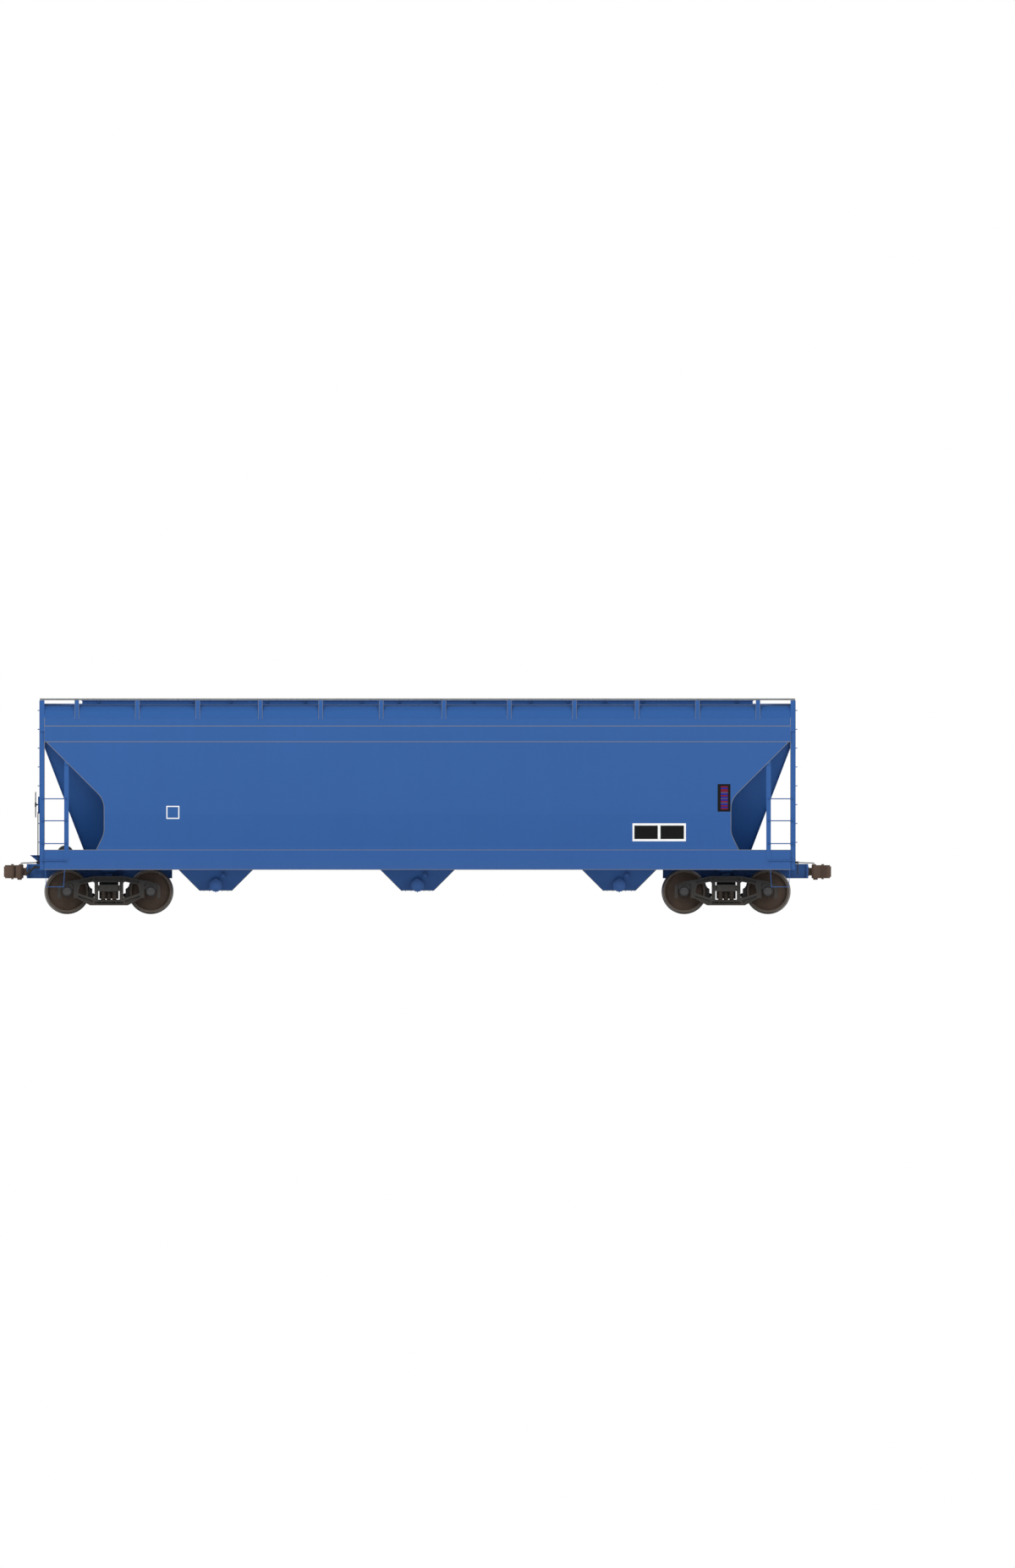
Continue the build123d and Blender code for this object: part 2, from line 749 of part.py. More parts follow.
# Outer face, at height h, of a ladder post whose foot stands at foot_half
def ladder_face(h, foot_half):
    slope = (post_head_half - foot_half) / taper_depth
    return min(post_head_half, max(foot_half, post_head_half - (h_taper_top - h) * slope))


stile_line = [
    (stile_foot_half, h_sill_top - stile_foot_drop),
    (stile_foot_half, h_taper_foot),
    (post_head_half, h_taper_top),
    (post_head_half, h_eave - stile_top_drop),
]
with BuildPart() as ladders:
    for e in (-1, 1):
        for s in (-1, 1):
            stile = stile_line + [(y - plate, h) for y, h in stile_line[::-1]]
            cross_profile(flipped(stile, s), (e * stile_x, e * (stile_x + stile_width)))
            slab(
                (e * (stile_x + 10), e * (stile_x + stile_width - 10)),
                (s * post_head_half, s * inside_half),
                (h_eave - stile_top_drop - 90, h_eave - stile_top_drop - 5),
            )
            for h in side_rungs:
                y = s * (ladder_face(h, stile_foot_half) + rung_r + rung_out)
                rod((e * 7442.0, y, h), (e * 7974.0, y, h), rung_r, flats=8)
                slab((e * 7445.0, e * 7465.0), (s * (ladder_face(h, stile_foot_half) - 3), y), (h - 9, h + 9))
                slab((e * 7950.0, e * 7970.0), (s * ladder_face(h + 9, post_foot_half), y), (h - 9, h + 9))
save(ladders, "side_ladders")

# End ladders up to the running boards, one at the left of each end
end_stile_y = 1060.0
end_stile_width = 60.0
end_stile_t = 10.0
end_rung_out = 36.0
end_rung_first = 1500.0
end_rung_pitch = 400.0
end_rung_count = 8
end_plate_grip_y = 1400.0
rung_x = post_x + end_rung_out
with BuildPart() as end_ladders:
    for e in (-1, 1):
        s = -e
        inner_y = s * (end_stile_y + end_stile_width / 2)
        slab(
            (e * post_x, e * (post_x + end_stile_t)),
            (s * end_stile_y, s * (end_stile_y + end_stile_width)),
            (h_end_sill_foot + 10, h_board_foot - 6),
        )
        for i in range(end_rung_count):
            h = end_rung_first + i * end_rung_pitch
            on_plate = h > h_end_plate
            grip = end_plate_grip_y if on_plate else ladder_face(h, post_foot_half)
            root = body_x + plate if on_plate else post_x
            rod((e * rung_x, inner_y, h), (e * rung_x, s * grip, h), rung_r, flats=8)
            slab((e * post_x, e * rung_x), (inner_y - 10, inner_y + 10), (h - 9, h + 9))
            slab((e * root, e * rung_x), (s * (grip - 20), s * grip), (h - 9, h + 9))
save(end_ladders, "end_ladders")

# Corner steps: flat-bar stirrups hung under the side sills
step_x = (7500.0, 7900.0)
step_drop = 355.0
step_bar = 12.0
step_y = (1502.0, 1552.0)
stirrup = [
    (step_x[0], h_sill_foot),
    (step_x[0] + 22, h_sill_foot - step_drop),
    (step_x[1] - 22, h_sill_foot - step_drop),
    (step_x[1], h_sill_foot),
]
with BuildPart() as steps:
    for e in (-1, 1):
        for s in (-1, 1):
            side_profile(flipped(band(stirrup, step_bar), e), (s * step_y[0], s * step_y[1]))
save(steps, "sill_steps")

# Train line along the right sill, crossing to an angle cock beside each coupler
cock_x = 8250.0
cock_y = 330.0
cock_drop = 108.0
hanger_x = (-5700.0, -3200.0, 3200.0, 5700.0)
bracket_at = 8118.0
with BuildPart() as train_line:
    stops = [
        (-cock_x, -cock_y, h_pipe - cock_drop),
        (-cock_x + 110, -cock_y, h_pipe),
        (-pipe_cross_x, -cock_y, h_pipe),
        (-pipe_cross_x, pipe_y, h_pipe),
        (pipe_cross_x, pipe_y, h_pipe),
        (pipe_cross_x, cock_y, h_pipe),
        (cock_x - 110, cock_y, h_pipe),
        (cock_x, cock_y, h_pipe - cock_drop),
    ]
    with BuildLine() as route:
        Polyline(*[(x, y, rail + h) for x, y, h in stops])
    with BuildSketch(Plane(origin=route.line @ 0, z_dir=route.line % 0, x_dir=(0, 1, 0))):
        RegularPolygon(pipe_r, 8, major_radius=False, rotation=22.5)
    sweep(transition=Transition.RIGHT)
    for x in hanger_x:
        slab((x - 20, x + 20), (pipe_y + pipe_r - 3, sheet_foot_half), (h_pipe - 6, h_pipe + 6))
    for e in (-1, 1):
        x = e * cock_x
        y = e * cock_y
        h = h_pipe - cock_drop
        rod((x - e * 20, y, h + 20), (x + e * 56, y, h - 36), 34, flats=8)
        rod((x + e * 10, y, h), (x + e * 10, y, h + 76), 16, flats=8)
        slab((x - e * 84, x + e * 20), (y - 12, y + 12), (h + 68, h + 80))
        slab(
            (e * (bracket_at - 20), e * (bracket_at + 20)),
            (e * stub_half, e * (cock_y + pipe_r)),
            (h_pipe + pipe_r - 1, h_pipe + pipe_r + 9),
        )
save(train_line, "train_line")

# Wheelsets: axle, two wheels and roller bearings turned as one body
# (distance from the centre, radius): axle, hub, plate, flange, tread, rim, plate, hub, bearing
wheel_back = 678.0
rim_width = 145.0
rim_face = wheel_back + rim_width
rim_foot_r = tread_r - 56
hub_r = 135.0
wheel_profile = [
    (0, 0),
    (0, 82),
    (632, 95),
    (632, hub_r),
    (706, rim_foot_r),
    (wheel_back, rim_foot_r),
    (wheel_back, tread_r + flange - 12),
    (wheel_back + 12, tread_r + flange),
    (wheel_back + 34, tread_r + 2),
    (rim_face, tread_r - 5),
    (rim_face, rim_foot_r + 4),
    (742, rim_foot_r - 4),
    (786, hub_r),
    (786, 95),
    (892, 95),
    (892, bearing_r),
    (1104, bearing_r),
    (1134, bearing_r - 28),
    (1134, 0),
]
axles = [e * truck_x + k * axle_offset for name, e in ends for k in (-1, 1)]
for i, x in enumerate(axles):
    with BuildPart() as wheelset:
        with BuildSketch(Plane(origin=(x, 0, rail + tread_r), x_dir=(0, 1, 0), z_dir=(-1, 0, 0))):
            Polygon(*wheel_profile, align=None)
        revolve(axis=Axis((x, 0, rail + tread_r), (0, 1, 0)))
        mirror(about=Plane.XZ)
    save(wheelset, f"wheelset_{i + 1}")

# Truck side frames: cast frames with pedestals, columns, open windows and recessed chords
# Outlines as (distance along the truck, height over the axle)
pedestal_rise = 149
frame_outline = [
    (-1092, -139), (-1092, 96), (-1064, 140), (-1012, 172), (-880, 212), (-640, 252), (-420, 304),
    (-330, 325),
    (330, 325), (420, 304), (640, 252), (880, 212), (1012, 172), (1064, 140), (1092, 96), (1092, -139),
    (1024, -139), (1024, pedestal_rise), (754, pedestal_rise), (754, -139), (676, -139), (560, -212),
    (400, -297), (-400, -297), (-560, -212), (-676, -139), (-754, -139), (-754, pedestal_rise),
    (-1024, pedestal_rise), (-1024, -139),
]
bolster_window = [(-226, -189), (-226, 195), (226, 195), (226, -189)]
frame_window = [(306, -157), (306, 211), (610, 147), (660, -37)]
middle_pockets = [
    [(-300, 295), (-300, 229), (300, 229), (300, 295)],
    [(-306, -261), (-306, -221), (306, -221), (306, -261)],
]
end_pockets = [
    [(352, 287), (352, 233), (628, 173), (642, 219)],
    [(430, -251), (346, -251), (346, -189), (664, -85), (640, -135)],
]
pocket_depth = 42.0
window_r = 40.0
seat_half = 128.0
pedestal_half = 135.0
adapter_half = 128.0
adapter_crown = [
    (-adapter_half, 43),
    (-adapter_half, 109),
    (-104, pedestal_rise),
    (104, pedestal_rise),
    (adapter_half, 109),
    (adapter_half, 43),
]
spring_r = 52.0
spring_places = [(-120, -62), (-120, 62), (120, -62), (120, 62), (0, 0)]
bolster_beam_half = 205.0
bolster_beam = [
    (1120.0, -5), (1120.0, 143), (560.0, 171), (-560.0, 171), (-1120.0, 143), (-1120.0, -5),
    (-860.0, -5), (-420.0, -157), (420.0, -157), (860.0, -5),
]
bolster_holes = [(250, 70), (480, 62), (680, 46)]
bowl_wall = 30.0
bearing_block = (595.0, 675.0)
for name, e in ends:
    centre = e * truck_x
    with BuildPart() as frames:
        for s in (-1, 1):
            inner = s * (journal_y - frame_half)
            outer = s * (journal_y + frame_half)
            through = (inner - 5 * s, outer + 5 * s)
            side_profile(placed(frame_outline, centre, tread_r), (inner, outer))
            side_profile(placed(bolster_window, centre, tread_r), through, mode=Mode.SUBTRACT)
            for k in (-1, 1):
                window = placed(frame_window, centre, tread_r, k)
                side_profile(window, through, radius=window_r, mode=Mode.SUBTRACT)
            pockets = [(pocket, 1) for pocket in middle_pockets]
            pockets += [(pocket, k) for pocket in end_pockets for k in (-1, 1)]
            for pocket, k in pockets:
                hollow = placed(pocket, centre, tread_r, k)
                side_profile(hollow, (outer - s * pocket_depth, outer + s), mode=Mode.SUBTRACT)
                side_profile(hollow, (inner - s, inner + s * pocket_depth), mode=Mode.SUBTRACT)
            seat = (s * (journal_y - seat_half), s * (journal_y + seat_half))
            slab((centre - 240, centre + 240), seat, (h_seat - 22, h_seat))
            for k in (-1, 1):
                gusset = [
                    (s * (journal_y - seat_half), h_seat - 20),
                    (s * (journal_y + seat_half), h_seat - 20),
                    (s * (journal_y + frame_half), h_seat - 78),
                    (s * (journal_y - frame_half), h_seat - 78),
                ]
                cross_profile(gusset, (centre + k * 150 - 10, centre + k * 150 + 10))
                axle = centre + k * axle_offset
                shelf = (s * (journal_y - frame_half - 9), s * (journal_y + frame_half + 9))
                slab((axle - 118, axle + 118), shelf, (tread_r + pedestal_rise + 2, tread_r + 183))
    save(frames, f"side_frames_{name}")

    with BuildPart() as adapters:
        for k in (-1, 1):
            axle = centre + k * axle_offset
            for s in (-1, 1):
                side_profile(placed(adapter_crown, axle, tread_r), (s * 934.0, s * 1072.0))
                rod(
                    (axle, s * 920.0, tread_r),
                    (axle, s * 1090.0, tread_r),
                    bearing_r + bearing_clearance,
                    mode=Mode.SUBTRACT,
                )
    save(adapters, f"bearing_adapters_{name}")

    with BuildPart() as bolster:
        cross_profile(
            [(y, tread_r + h) for y, h in bolster_beam],
            (centre - bolster_beam_half, centre + bolster_beam_half),
        )
        for s in (-1, 1):
            for y, r in bolster_holes:
                start = (centre - bolster_beam_half - 5, s * y, tread_r + 35)
                end = (centre + bolster_beam_half + 5, s * y, tread_r + 35)
                rod(start, end, r, flats=8, mode=Mode.SUBTRACT)
            for k in (-1, 1):
                wedge = (centre + k * (bolster_beam_half - 2), centre + k * 225.5)
                slab(wedge, (s * (journal_y - 62), s * (journal_y + 62)), (tread_r + 6, tread_r + 132))
                cage = (centre + k * 118, centre + k * 140)
                slab(cage, (s * 585.0, s * 685.0), (tread_r + 200, tread_r + 269))
            slab((centre - 150, centre + 150), (s * 575.0, s * 695.0), (tread_r + 163, tread_r + 203))
            block_y = (s * bearing_block[0], s * bearing_block[1])
            slab((centre - 108, centre + 108), block_y, (tread_r + 203, tread_r + 283))
            slab((centre - 60, centre + 60), (s * 600.0, s * 670.0), (tread_r + 283, tread_r + 325))
        with Locations((centre, 0, rail + h_centre_plate - 1)):
            Cylinder(centre_plate_r + bowl_wall, 50.0)
        with Locations((centre, 0, rail + h_centre_plate - bearing_clearance + 15)):
            Cylinder(centre_plate_r + 2, 30.0, mode=Mode.SUBTRACT)
    save(bolster, f"truck_bolster_{name}")

    with BuildPart() as springs:
        with BuildSketch(Plane.XY.offset(rail + h_seat)):
            for s in (-1, 1):
                with Locations(*[(centre + x, s * journal_y + y) for x, y in spring_places]):
                    RegularPolygon(spring_r, 12)
        extrude(amount=h_spring - h_seat)
    save(springs, f"spring_groups_{name}")

    beam_x = 340.0
    h_beam = tread_r - 82.0
    shoe_y = 756.0
    shoe_half = 44.0
    with BuildPart() as beams:
        for k in (-1, 1):
            x = centre + k * beam_x
            channel = [(20, -45), (20, 45), (-20, 45), (-20, 33), (8, 33), (8, -33), (-20, -33), (-20, -45)]
            side_profile(placed(channel, x, h_beam, k), (-800, 800))
            truss = [(8, 770), (8, 740), (-96, 22), (-96, -22), (8, -740), (8, -770), (-8, -770), (-110, -22)]
            truss += [(-110, 22), (-8, 770)]
            plan_profile([(x + k * a, b) for a, b in truss], (h_beam - 17, h_beam + 17))
            slab((x + k * 8, x - k * 100), (-22, 22), (h_beam - 33, h_beam + 33))
            head = [(12, -75), (12, 135), (60, 165), (96, 165), (96, -95)]
            for s in (-1, 1):
                slab((x - 20, x + 20), (s * 790, s * (journal_y - frame_half)), (h_beam - 135, h_beam - 35))
                side_profile(placed(head, x, h_beam, k), (s * (shoe_y - 34), s * (shoe_y + 34)))
                shoe = (s * (shoe_y - shoe_half), s * (shoe_y + shoe_half))
                slab((x + k * 60, x + k * 130), shoe, (h_beam - 105, h_beam + 185))
        for k in (-1, 1):
            axle = centre + k * axle_offset
            rod((axle, -900, tread_r), (axle, 900, tread_r), tread_r + 9, mode=Mode.SUBTRACT)
            for s in (-1, 1):
                rod(
                    (axle, s * 660, tread_r),
                    (axle, s * (shoe_y - shoe_half + 0.5), tread_r),
                    tread_r + flange + 6,
                    mode=Mode.SUBTRACT,
                )
    save(beams, f"brake_beams_{name}")

# Couplers: shank, head with guard arm and horn; the knuckle hangs on its pin
# Outlines as (distance out from the striker, distance towards the knuckle side)
shank_root = 500.0
pin_x = 305.0
pin_y = 108.0
pin_r = 20.6
head_half = 140.0
ear_t = 22.0
knuckle_half = 112.0
head = [
    (70, -150), (120, -172), (250, -160), (330, -205), (400, -244), (446, -252), (462, -236), (440, -196),
    (380, -120), (310, -84), (262, -70), (232, 40), (232, 165), (130, 172), (96, 150), (70, 120),
]
ear = [(200, 60), (250, 50), (300, 52), (342, 78), (354, 112), (342, 148), (300, 168), (200, 165)]
hook = [
    (262, 60), (330, 46), (394, 40), (390, 0), (396, -34), (418, -46), (446, -42), (474, -20), (486, 20),
    (486, 84), (468, 122), (430, 150), (370, 166), (300, 168), (264, 150), (250, 120),
]
for name, e in ends:
    pin = (e * (striker_x + pin_x), e * pin_y)
    with BuildPart() as coupler:
        slab(
            (e * (striker_x - shank_root), e * (striker_x + 90)),
            (-shank_wide / 2, shank_wide / 2),
            (h_coupler - shank_high / 2, h_coupler + shank_high / 2),
        )
        plan_profile(
            [(e * (striker_x + x), e * y) for x, y in head],
            (h_coupler - head_half, h_coupler + head_half))
        for k in (-1, 1):
            levels = (h_coupler + k * (head_half - ear_t), h_coupler + k * head_half)
            plan_profile([(e * (striker_x + x), e * y) for x, y in ear], levels)
        rod((*pin, h_coupler - head_half - 12), (*pin, h_coupler + head_half + 12), pin_r)
    save(coupler, f"coupler_{name}")

    with BuildPart() as knuckle:
        levels = (h_coupler - knuckle_half, h_coupler + knuckle_half)
        plan_profile([(e * (striker_x + x), e * y) for x, y in hook], levels)
        rod(
            (*pin, h_coupler - knuckle_half - 8),
            (*pin, h_coupler + knuckle_half + 8),
            pin_r + 0.1,
            mode=Mode.SUBTRACT,
        )
    save(knuckle, f"knuckle_{name}")

# Brake gear on the deck of the hand-brake end: reservoir, brake cylinder and control valve
gear_x = -7480.0
saddle_half = 80.0
with BuildPart() as brake_gear:
    for radius, h, near, far, saddles in (
        (170.0, h_deck + 211, 700.0, 1300.0, (780.0, 1220.0)),
        (140.0, h_deck + 191, -1250.0, -700.0, (-1130.0, -820.0)),
    ):
        rod((gear_x, near, h), (gear_x, far, h), radius)
        for y in saddles:
            slab((gear_x - saddle_half, gear_x + saddle_half), (y - 20, y + 20), (h_deck, h - 40))
    slab((gear_x - 380, gear_x - 320), (560, 700), (h_deck, h_deck + 131))
    slab((gear_x - 395, gear_x - 305), (590, 670), (h_deck + 40, h_deck + 110))
    rod((gear_x, -700, h_deck + 191), (gear_x, -560, h_deck + 191), 26, flats=8)
save(brake_gear, "brake_gear")

# Hand brake: post, gear housing and brake step
brake_y = 900.0
brake_rise = 1107.0
housing_x = 8060.0
wheel_x = 8110.0
brake_step_depth = 205.0
h_brake = h_end_sill_top + brake_rise
h_step = h_end_sill_top + 20
step_bracket = [(-post_x, h_step), (-post_x - 190, h_step), (-post_x, h_end_sill_foot + 30)]
with BuildPart() as brake_stand:
    slab((-8012, -body_x - 9), (brake_y - 40, brake_y + 40), (h_end_sill_top, h_end_plate))
    housing = [
        (brake_y - 150, h_brake - 120), (brake_y - 96, h_brake - 190), (brake_y + 96, h_brake - 190),
        (brake_y + 150, h_brake - 120), (brake_y + 150, h_brake + 90), (brake_y + 90, h_brake + 170),
        (brake_y - 90, h_brake + 170), (brake_y - 150, h_brake + 90),
    ]
    cross_profile(housing, (-housing_x, -8012))
    rod((-wheel_x - 18, brake_y, h_brake), (-housing_x, brake_y, h_brake), 16)
    slab((-post_x - brake_step_depth, -post_x), (brake_y - 260, brake_y + 155), (h_step, h_step + 14))
    for y in (brake_y - 220, brake_y + 120):
        side_profile(step_bracket, (y, y + plate))
save(brake_stand, "brake_stand")

rim_r = 265.0
rim_half = 11.0
spoke_count = 5
with BuildPart() as brake_wheel:
    hub = Axis((-wheel_x, brake_y, rail + h_brake), (1, 0, 0))
    with BuildSketch(Plane(origin=(-wheel_x, brake_y, rail + h_brake), x_dir=(1, 0, 0), z_dir=(0, -1, 0))):
        with Locations((0, rim_r)):
            RegularPolygon(rim_half, 6)
        with Locations((0, 32)):
            Rectangle(36, 31)
    revolve(axis=hub)
    for i in range(spoke_count):
        turn = radians(360 / spoke_count * (i + 0.5))
        root = (-wheel_x, brake_y + 40 * sin(turn), h_brake + 40 * cos(turn))
        tip = (-wheel_x, brake_y + (rim_r - 4) * sin(turn), h_brake + (rim_r - 4) * cos(turn))
        rod(root, tip, 9, flats=8)
save(brake_wheel, "brake_wheel")
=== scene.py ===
import json
import math

import bmesh
import bpy
from mathutils import Matrix, Vector


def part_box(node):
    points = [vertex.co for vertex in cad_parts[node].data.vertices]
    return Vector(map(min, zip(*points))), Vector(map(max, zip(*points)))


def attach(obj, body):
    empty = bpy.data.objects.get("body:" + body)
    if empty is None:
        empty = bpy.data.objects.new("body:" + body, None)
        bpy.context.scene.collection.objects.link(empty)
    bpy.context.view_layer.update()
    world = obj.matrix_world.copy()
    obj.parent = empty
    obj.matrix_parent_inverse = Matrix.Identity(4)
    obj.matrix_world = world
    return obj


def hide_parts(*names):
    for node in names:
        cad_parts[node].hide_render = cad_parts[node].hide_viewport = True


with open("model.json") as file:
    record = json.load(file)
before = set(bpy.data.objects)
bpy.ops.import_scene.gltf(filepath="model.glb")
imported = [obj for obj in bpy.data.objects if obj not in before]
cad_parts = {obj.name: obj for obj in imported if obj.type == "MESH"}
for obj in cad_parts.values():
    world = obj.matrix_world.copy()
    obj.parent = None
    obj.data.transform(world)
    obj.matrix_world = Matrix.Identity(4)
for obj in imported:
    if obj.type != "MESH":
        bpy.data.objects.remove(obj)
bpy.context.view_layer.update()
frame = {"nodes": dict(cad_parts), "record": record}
nodes = frame["nodes"]
scene = bpy.context.scene
scene.view_settings.view_transform = "Standard"
print("stage: frame loaded,", len(nodes), "nodes")


# Common measures in metres: heights are over the rail head, which is above the flange tips

railTop = 0.0254
ends = {"b": -1, "a": 1}
sides = (-1, 1)  # left and right of the car
truckX = 6.553
axleOffset = 0.889
journalY = 1.003
bodyX = 7.921
postX = 8.02
taperFoot, taperTop = 1.427, 2.110
sheetFootHalf, sheetHalf = 1.552, 1.6176
sillHalf = 1.56
outletPlaces = (-4.284, 0.0, 4.284)
mergeGap = 0.00005


def up(height):
    return railTop + height


def raised(points):
    return [(x, y, up(height)) for x, y, height in points]


def taper(height):  # 0 at the foot of the side sheet, 1 where it has its full width
    return min(1.0, max(0.0, (height - taperFoot) / (taperTop - taperFoot)))


def sideSurface(height):
    return sheetFootHalf + (sheetHalf - sheetFootHalf) * taper(height)


axleHeight = up(0.4572)


# Shader maths

class Term:
    def __init__(self, paint, socket):
        self.paint = paint
        self.socket = socket

    def do(self, operation, *others):
        inputs = {i: value for i, value in enumerate((self,) + others)}
        return self.paint.node("ShaderNodeMath", {"operation": operation}, inputs)

    def __add__(self, other):
        return self.do("ADD", other)

    __radd__ = __add__

    def __sub__(self, other):
        return self.do("SUBTRACT", other)

    def __rsub__(self, other):
        return self.do("MULTIPLY", -1.0).do("ADD", other)

    def __mul__(self, other):
        return self.do("MULTIPLY", other)

    __rmul__ = __mul__

    def __gt__(self, other):
        return self.do("GREATER_THAN", other)

    def __lt__(self, other):
        return self.do("LESS_THAN", other)

    def __pow__(self, other):
        return self.do("POWER", other)

    def size(self):
        return self.do("ABSOLUTE")

    def within(self, low, high):
        return (self > low) * (self < high)

    def ramp(self, low, high):
        settings = {"interpolation_type": "SMOOTHSTEP"}
        inputs = {0: self, 1: low, 2: high, 3: 0.0, 4: 1.0}
        return self.paint.node("ShaderNodeMapRange", settings, inputs)


class Paint:
    def __init__(self, name):
        self.material = bpy.data.materials.new(name)
        self.material.use_nodes = True
        self.tree = self.material.node_tree
        self.tree.nodes.clear()

    def node(self, kind, settings=None, inputs=None, out=0):
        made = self.tree.nodes.new(kind)
        for key, value in (settings or {}).items():
            setattr(made, key, value)
        for key, value in (inputs or {}).items():
            if isinstance(value, Term):
                self.tree.links.new(value.socket, made.inputs[key])
            else:
                made.inputs[key].default_value = value
        return Term(self, made.outputs[out]) if made.outputs else None

    def place(self, centre=(0, 0, 0), stretch=(1, 1, 1)):
        here = self.node("ShaderNodeTexCoord", out="Object")
        offset = tuple(-c * k for c, k in zip(centre, stretch))
        return self.node("ShaderNodeMapping", None, {"Vector": here, "Location": offset, "Scale": stretch})

    def axes(self, vector):
        split = self.tree.nodes.new("ShaderNodeSeparateXYZ")
        self.tree.links.new(vector.socket, split.inputs[0])
        return [Term(self, split.outputs[i]) for i in range(3)]

    def noise(self, scale, detail, stretch=(1, 1, 1)):
        inputs = {"Vector": self.place(stretch=stretch), "Scale": scale, "Detail": detail}
        return self.node("ShaderNodeTexNoise", None, inputs)

    def mix(self, factor, first, second):
        settings = {"data_type": "RGBA", "clamp_factor": True}
        return self.node("ShaderNodeMix", settings, {0: factor, 6: first, 7: second}, out=2)

    def shade(self, colour, amount):
        return self.node("ShaderNodeHueSaturation", None, {"Color": colour, "Value": amount})

    def bump(self, height, distance, strength):
        inputs = {"Height": height, "Distance": distance, "Strength": strength}
        return self.node("ShaderNodeBump", None, inputs)

    def close(self, colour, roughness, specular, metallic=0.0, normal=None):
        inputs = {"Base Color": colour, "Roughness": roughness, "Metallic": metallic}
        inputs["Specular IOR Level"] = specular
        if normal is not None:
            inputs["Normal"] = normal
        shader = self.node("ShaderNodeBsdfPrincipled", None, inputs)
        self.node("ShaderNodeOutputMaterial", None, {"Surface": shader})
        return self.material


def rgb(red, green, blue):
    def linear(value):
        value = value / 255
        return value / 12.92 if value <= 0.04045 else ((value + 0.055) / 1.055) ** 2.4
    return (linear(red), linear(green), linear(blue), 1.0)


# Body paint: faint patches and rain streaks, road dust low down and a dull film on what faces up

paintLook = {
    "blue": rgb(42, 86, 147),
    "dust": rgb(118, 116, 108),
    "dustSpan": (0.3, 1.5),  # heights between which the dust fades
    "dustAmount": 0.10,
    "patch": 0.06, "streak": 0.05, "grain": 0.03,
    "patchScale": 0.7, "streakScale": 9.0, "grainScale": 140.0, "peelScale": 420.0, "waveScale": 1.7,
    "streakStretch": 0.05,
    "filmSpan": (0.35, 0.9),  # upward part of the normal
    "film": 0.5,
    "roughness": 0.46,
    "specular": 0.2,
    "reliefDepth": 0.004, "reliefStrength": 0.35,
}


def bodyPaint(name):
    look = paintLook
    paint = Paint(name)
    height = paint.axes(paint.place())[2]
    patches = paint.noise(look["patchScale"], 4.0)
    streaks = paint.noise(look["streakScale"], 3.0, stretch=(1, 1, look["streakStretch"]))
    grain = paint.noise(look["grainScale"], 2.0)
    peel = paint.noise(look["peelScale"], 2.0)
    waves = paint.noise(look["waveScale"], 2.0)
    value = 1.0 + (patches - 0.5) * look["patch"] + (streaks - 0.5) * look["streak"]
    value = value + (grain - 0.5) * look["grain"]
    low = 1.0 - height.ramp(*look["dustSpan"])
    dusty = low * (patches * 0.8 + streaks * 0.6) * look["dustAmount"]
    colour = paint.mix(dusty, paint.shade(look["blue"], value), look["dust"])
    film = paint.axes(paint.node("ShaderNodeTexCoord", out="Normal"))[2].ramp(*look["filmSpan"])
    roughness = look["roughness"] + (patches - 0.5) * 0.12 + dusty * 1.2 + film * look["film"]
    relief = (waves * 0.6 + peel * 0.06 + grain * 0.05) * (1.0 - film)
    bump = paint.bump(relief, look["reliefDepth"], look["reliefStrength"])
    return paint.close(colour, roughness, look["specular"], normal=bump)


# Galvanised gratings with a spangle

galvanisedLook = {
    "base": rgb(136, 138, 138),
    "dark": rgb(96, 98, 100),
    "spangleScale": 55.0, "stainScale": 3.0, "fineScale": 300.0,
    "roughness": 0.5, "metallic": 0.55, "specular": 0.4,
    "reliefDepth": 0.0006, "reliefStrength": 0.4,
}


def galvanised(name):
    look = galvanisedLook
    paint = Paint(name)
    cellInputs = {"Vector": paint.place(), "Scale": look["spangleScale"]}
    tone = paint.axes(paint.node("ShaderNodeTexVoronoi", None, cellInputs, out="Color"))[0]
    stain = paint.noise(look["stainScale"], 5.0)
    colour = paint.mix(tone * 0.5 + stain * 0.4, look["base"], look["dark"])
    fine = paint.noise(look["fineScale"], 2.0)
    bump = paint.bump(fine + tone, look["reliefDepth"], look["reliefStrength"])
    return paint.close(colour, look["roughness"] + tone * 0.15, look["specular"], look["metallic"], bump)


# Castings and dark steel: own colour, colour of the settled dust, and roughness

castLook = {
    "truckCasting": (rgb(38, 37, 37), rgb(92, 84, 72), 0.62),
    "couplerCasting": (rgb(84, 66, 54), rgb(122, 92, 70), 0.7),
    "brakePaint": (rgb(34, 34, 36), rgb(80, 76, 70), 0.5),
    "springSteel": (rgb(46, 42, 40), rgb(104, 84, 66), 0.5),
    "bearingSteel": (rgb(54, 54, 57), rgb(96, 88, 78), 0.45),
}
castSurface = {
    "dustSpan": (0.1, 0.9),
    "cloudScale": 4.0, "speckScale": 60.0, "pitScale": 220.0,
    "speckEdge": 0.62,
    "specular": 0.35,
    "reliefDepth": 0.0015, "reliefStrength": 0.6,
}


def castSteel(name):
    base, dusty, rough = castLook[name]
    look = castSurface
    paint = Paint(name)
    height = paint.axes(paint.place())[2]
    clouds = paint.noise(look["cloudScale"], 5.0)
    speck = paint.noise(look["speckScale"], 4.0)
    pits = paint.noise(look["pitScale"], 3.0)
    low = 1.0 - height.ramp(*look["dustSpan"])
    settled = low * clouds * 0.55 + (speck > look["speckEdge"]) * 0.12
    colour = paint.mix(settled, paint.shade(base, 0.9 + clouds * 0.25), dusty)
    bump = paint.bump(pits * 0.5 + speck * 0.7, look["reliefDepth"], look["reliefStrength"])
    return paint.close(colour, rough + settled * 0.3, look["specular"], normal=bump)


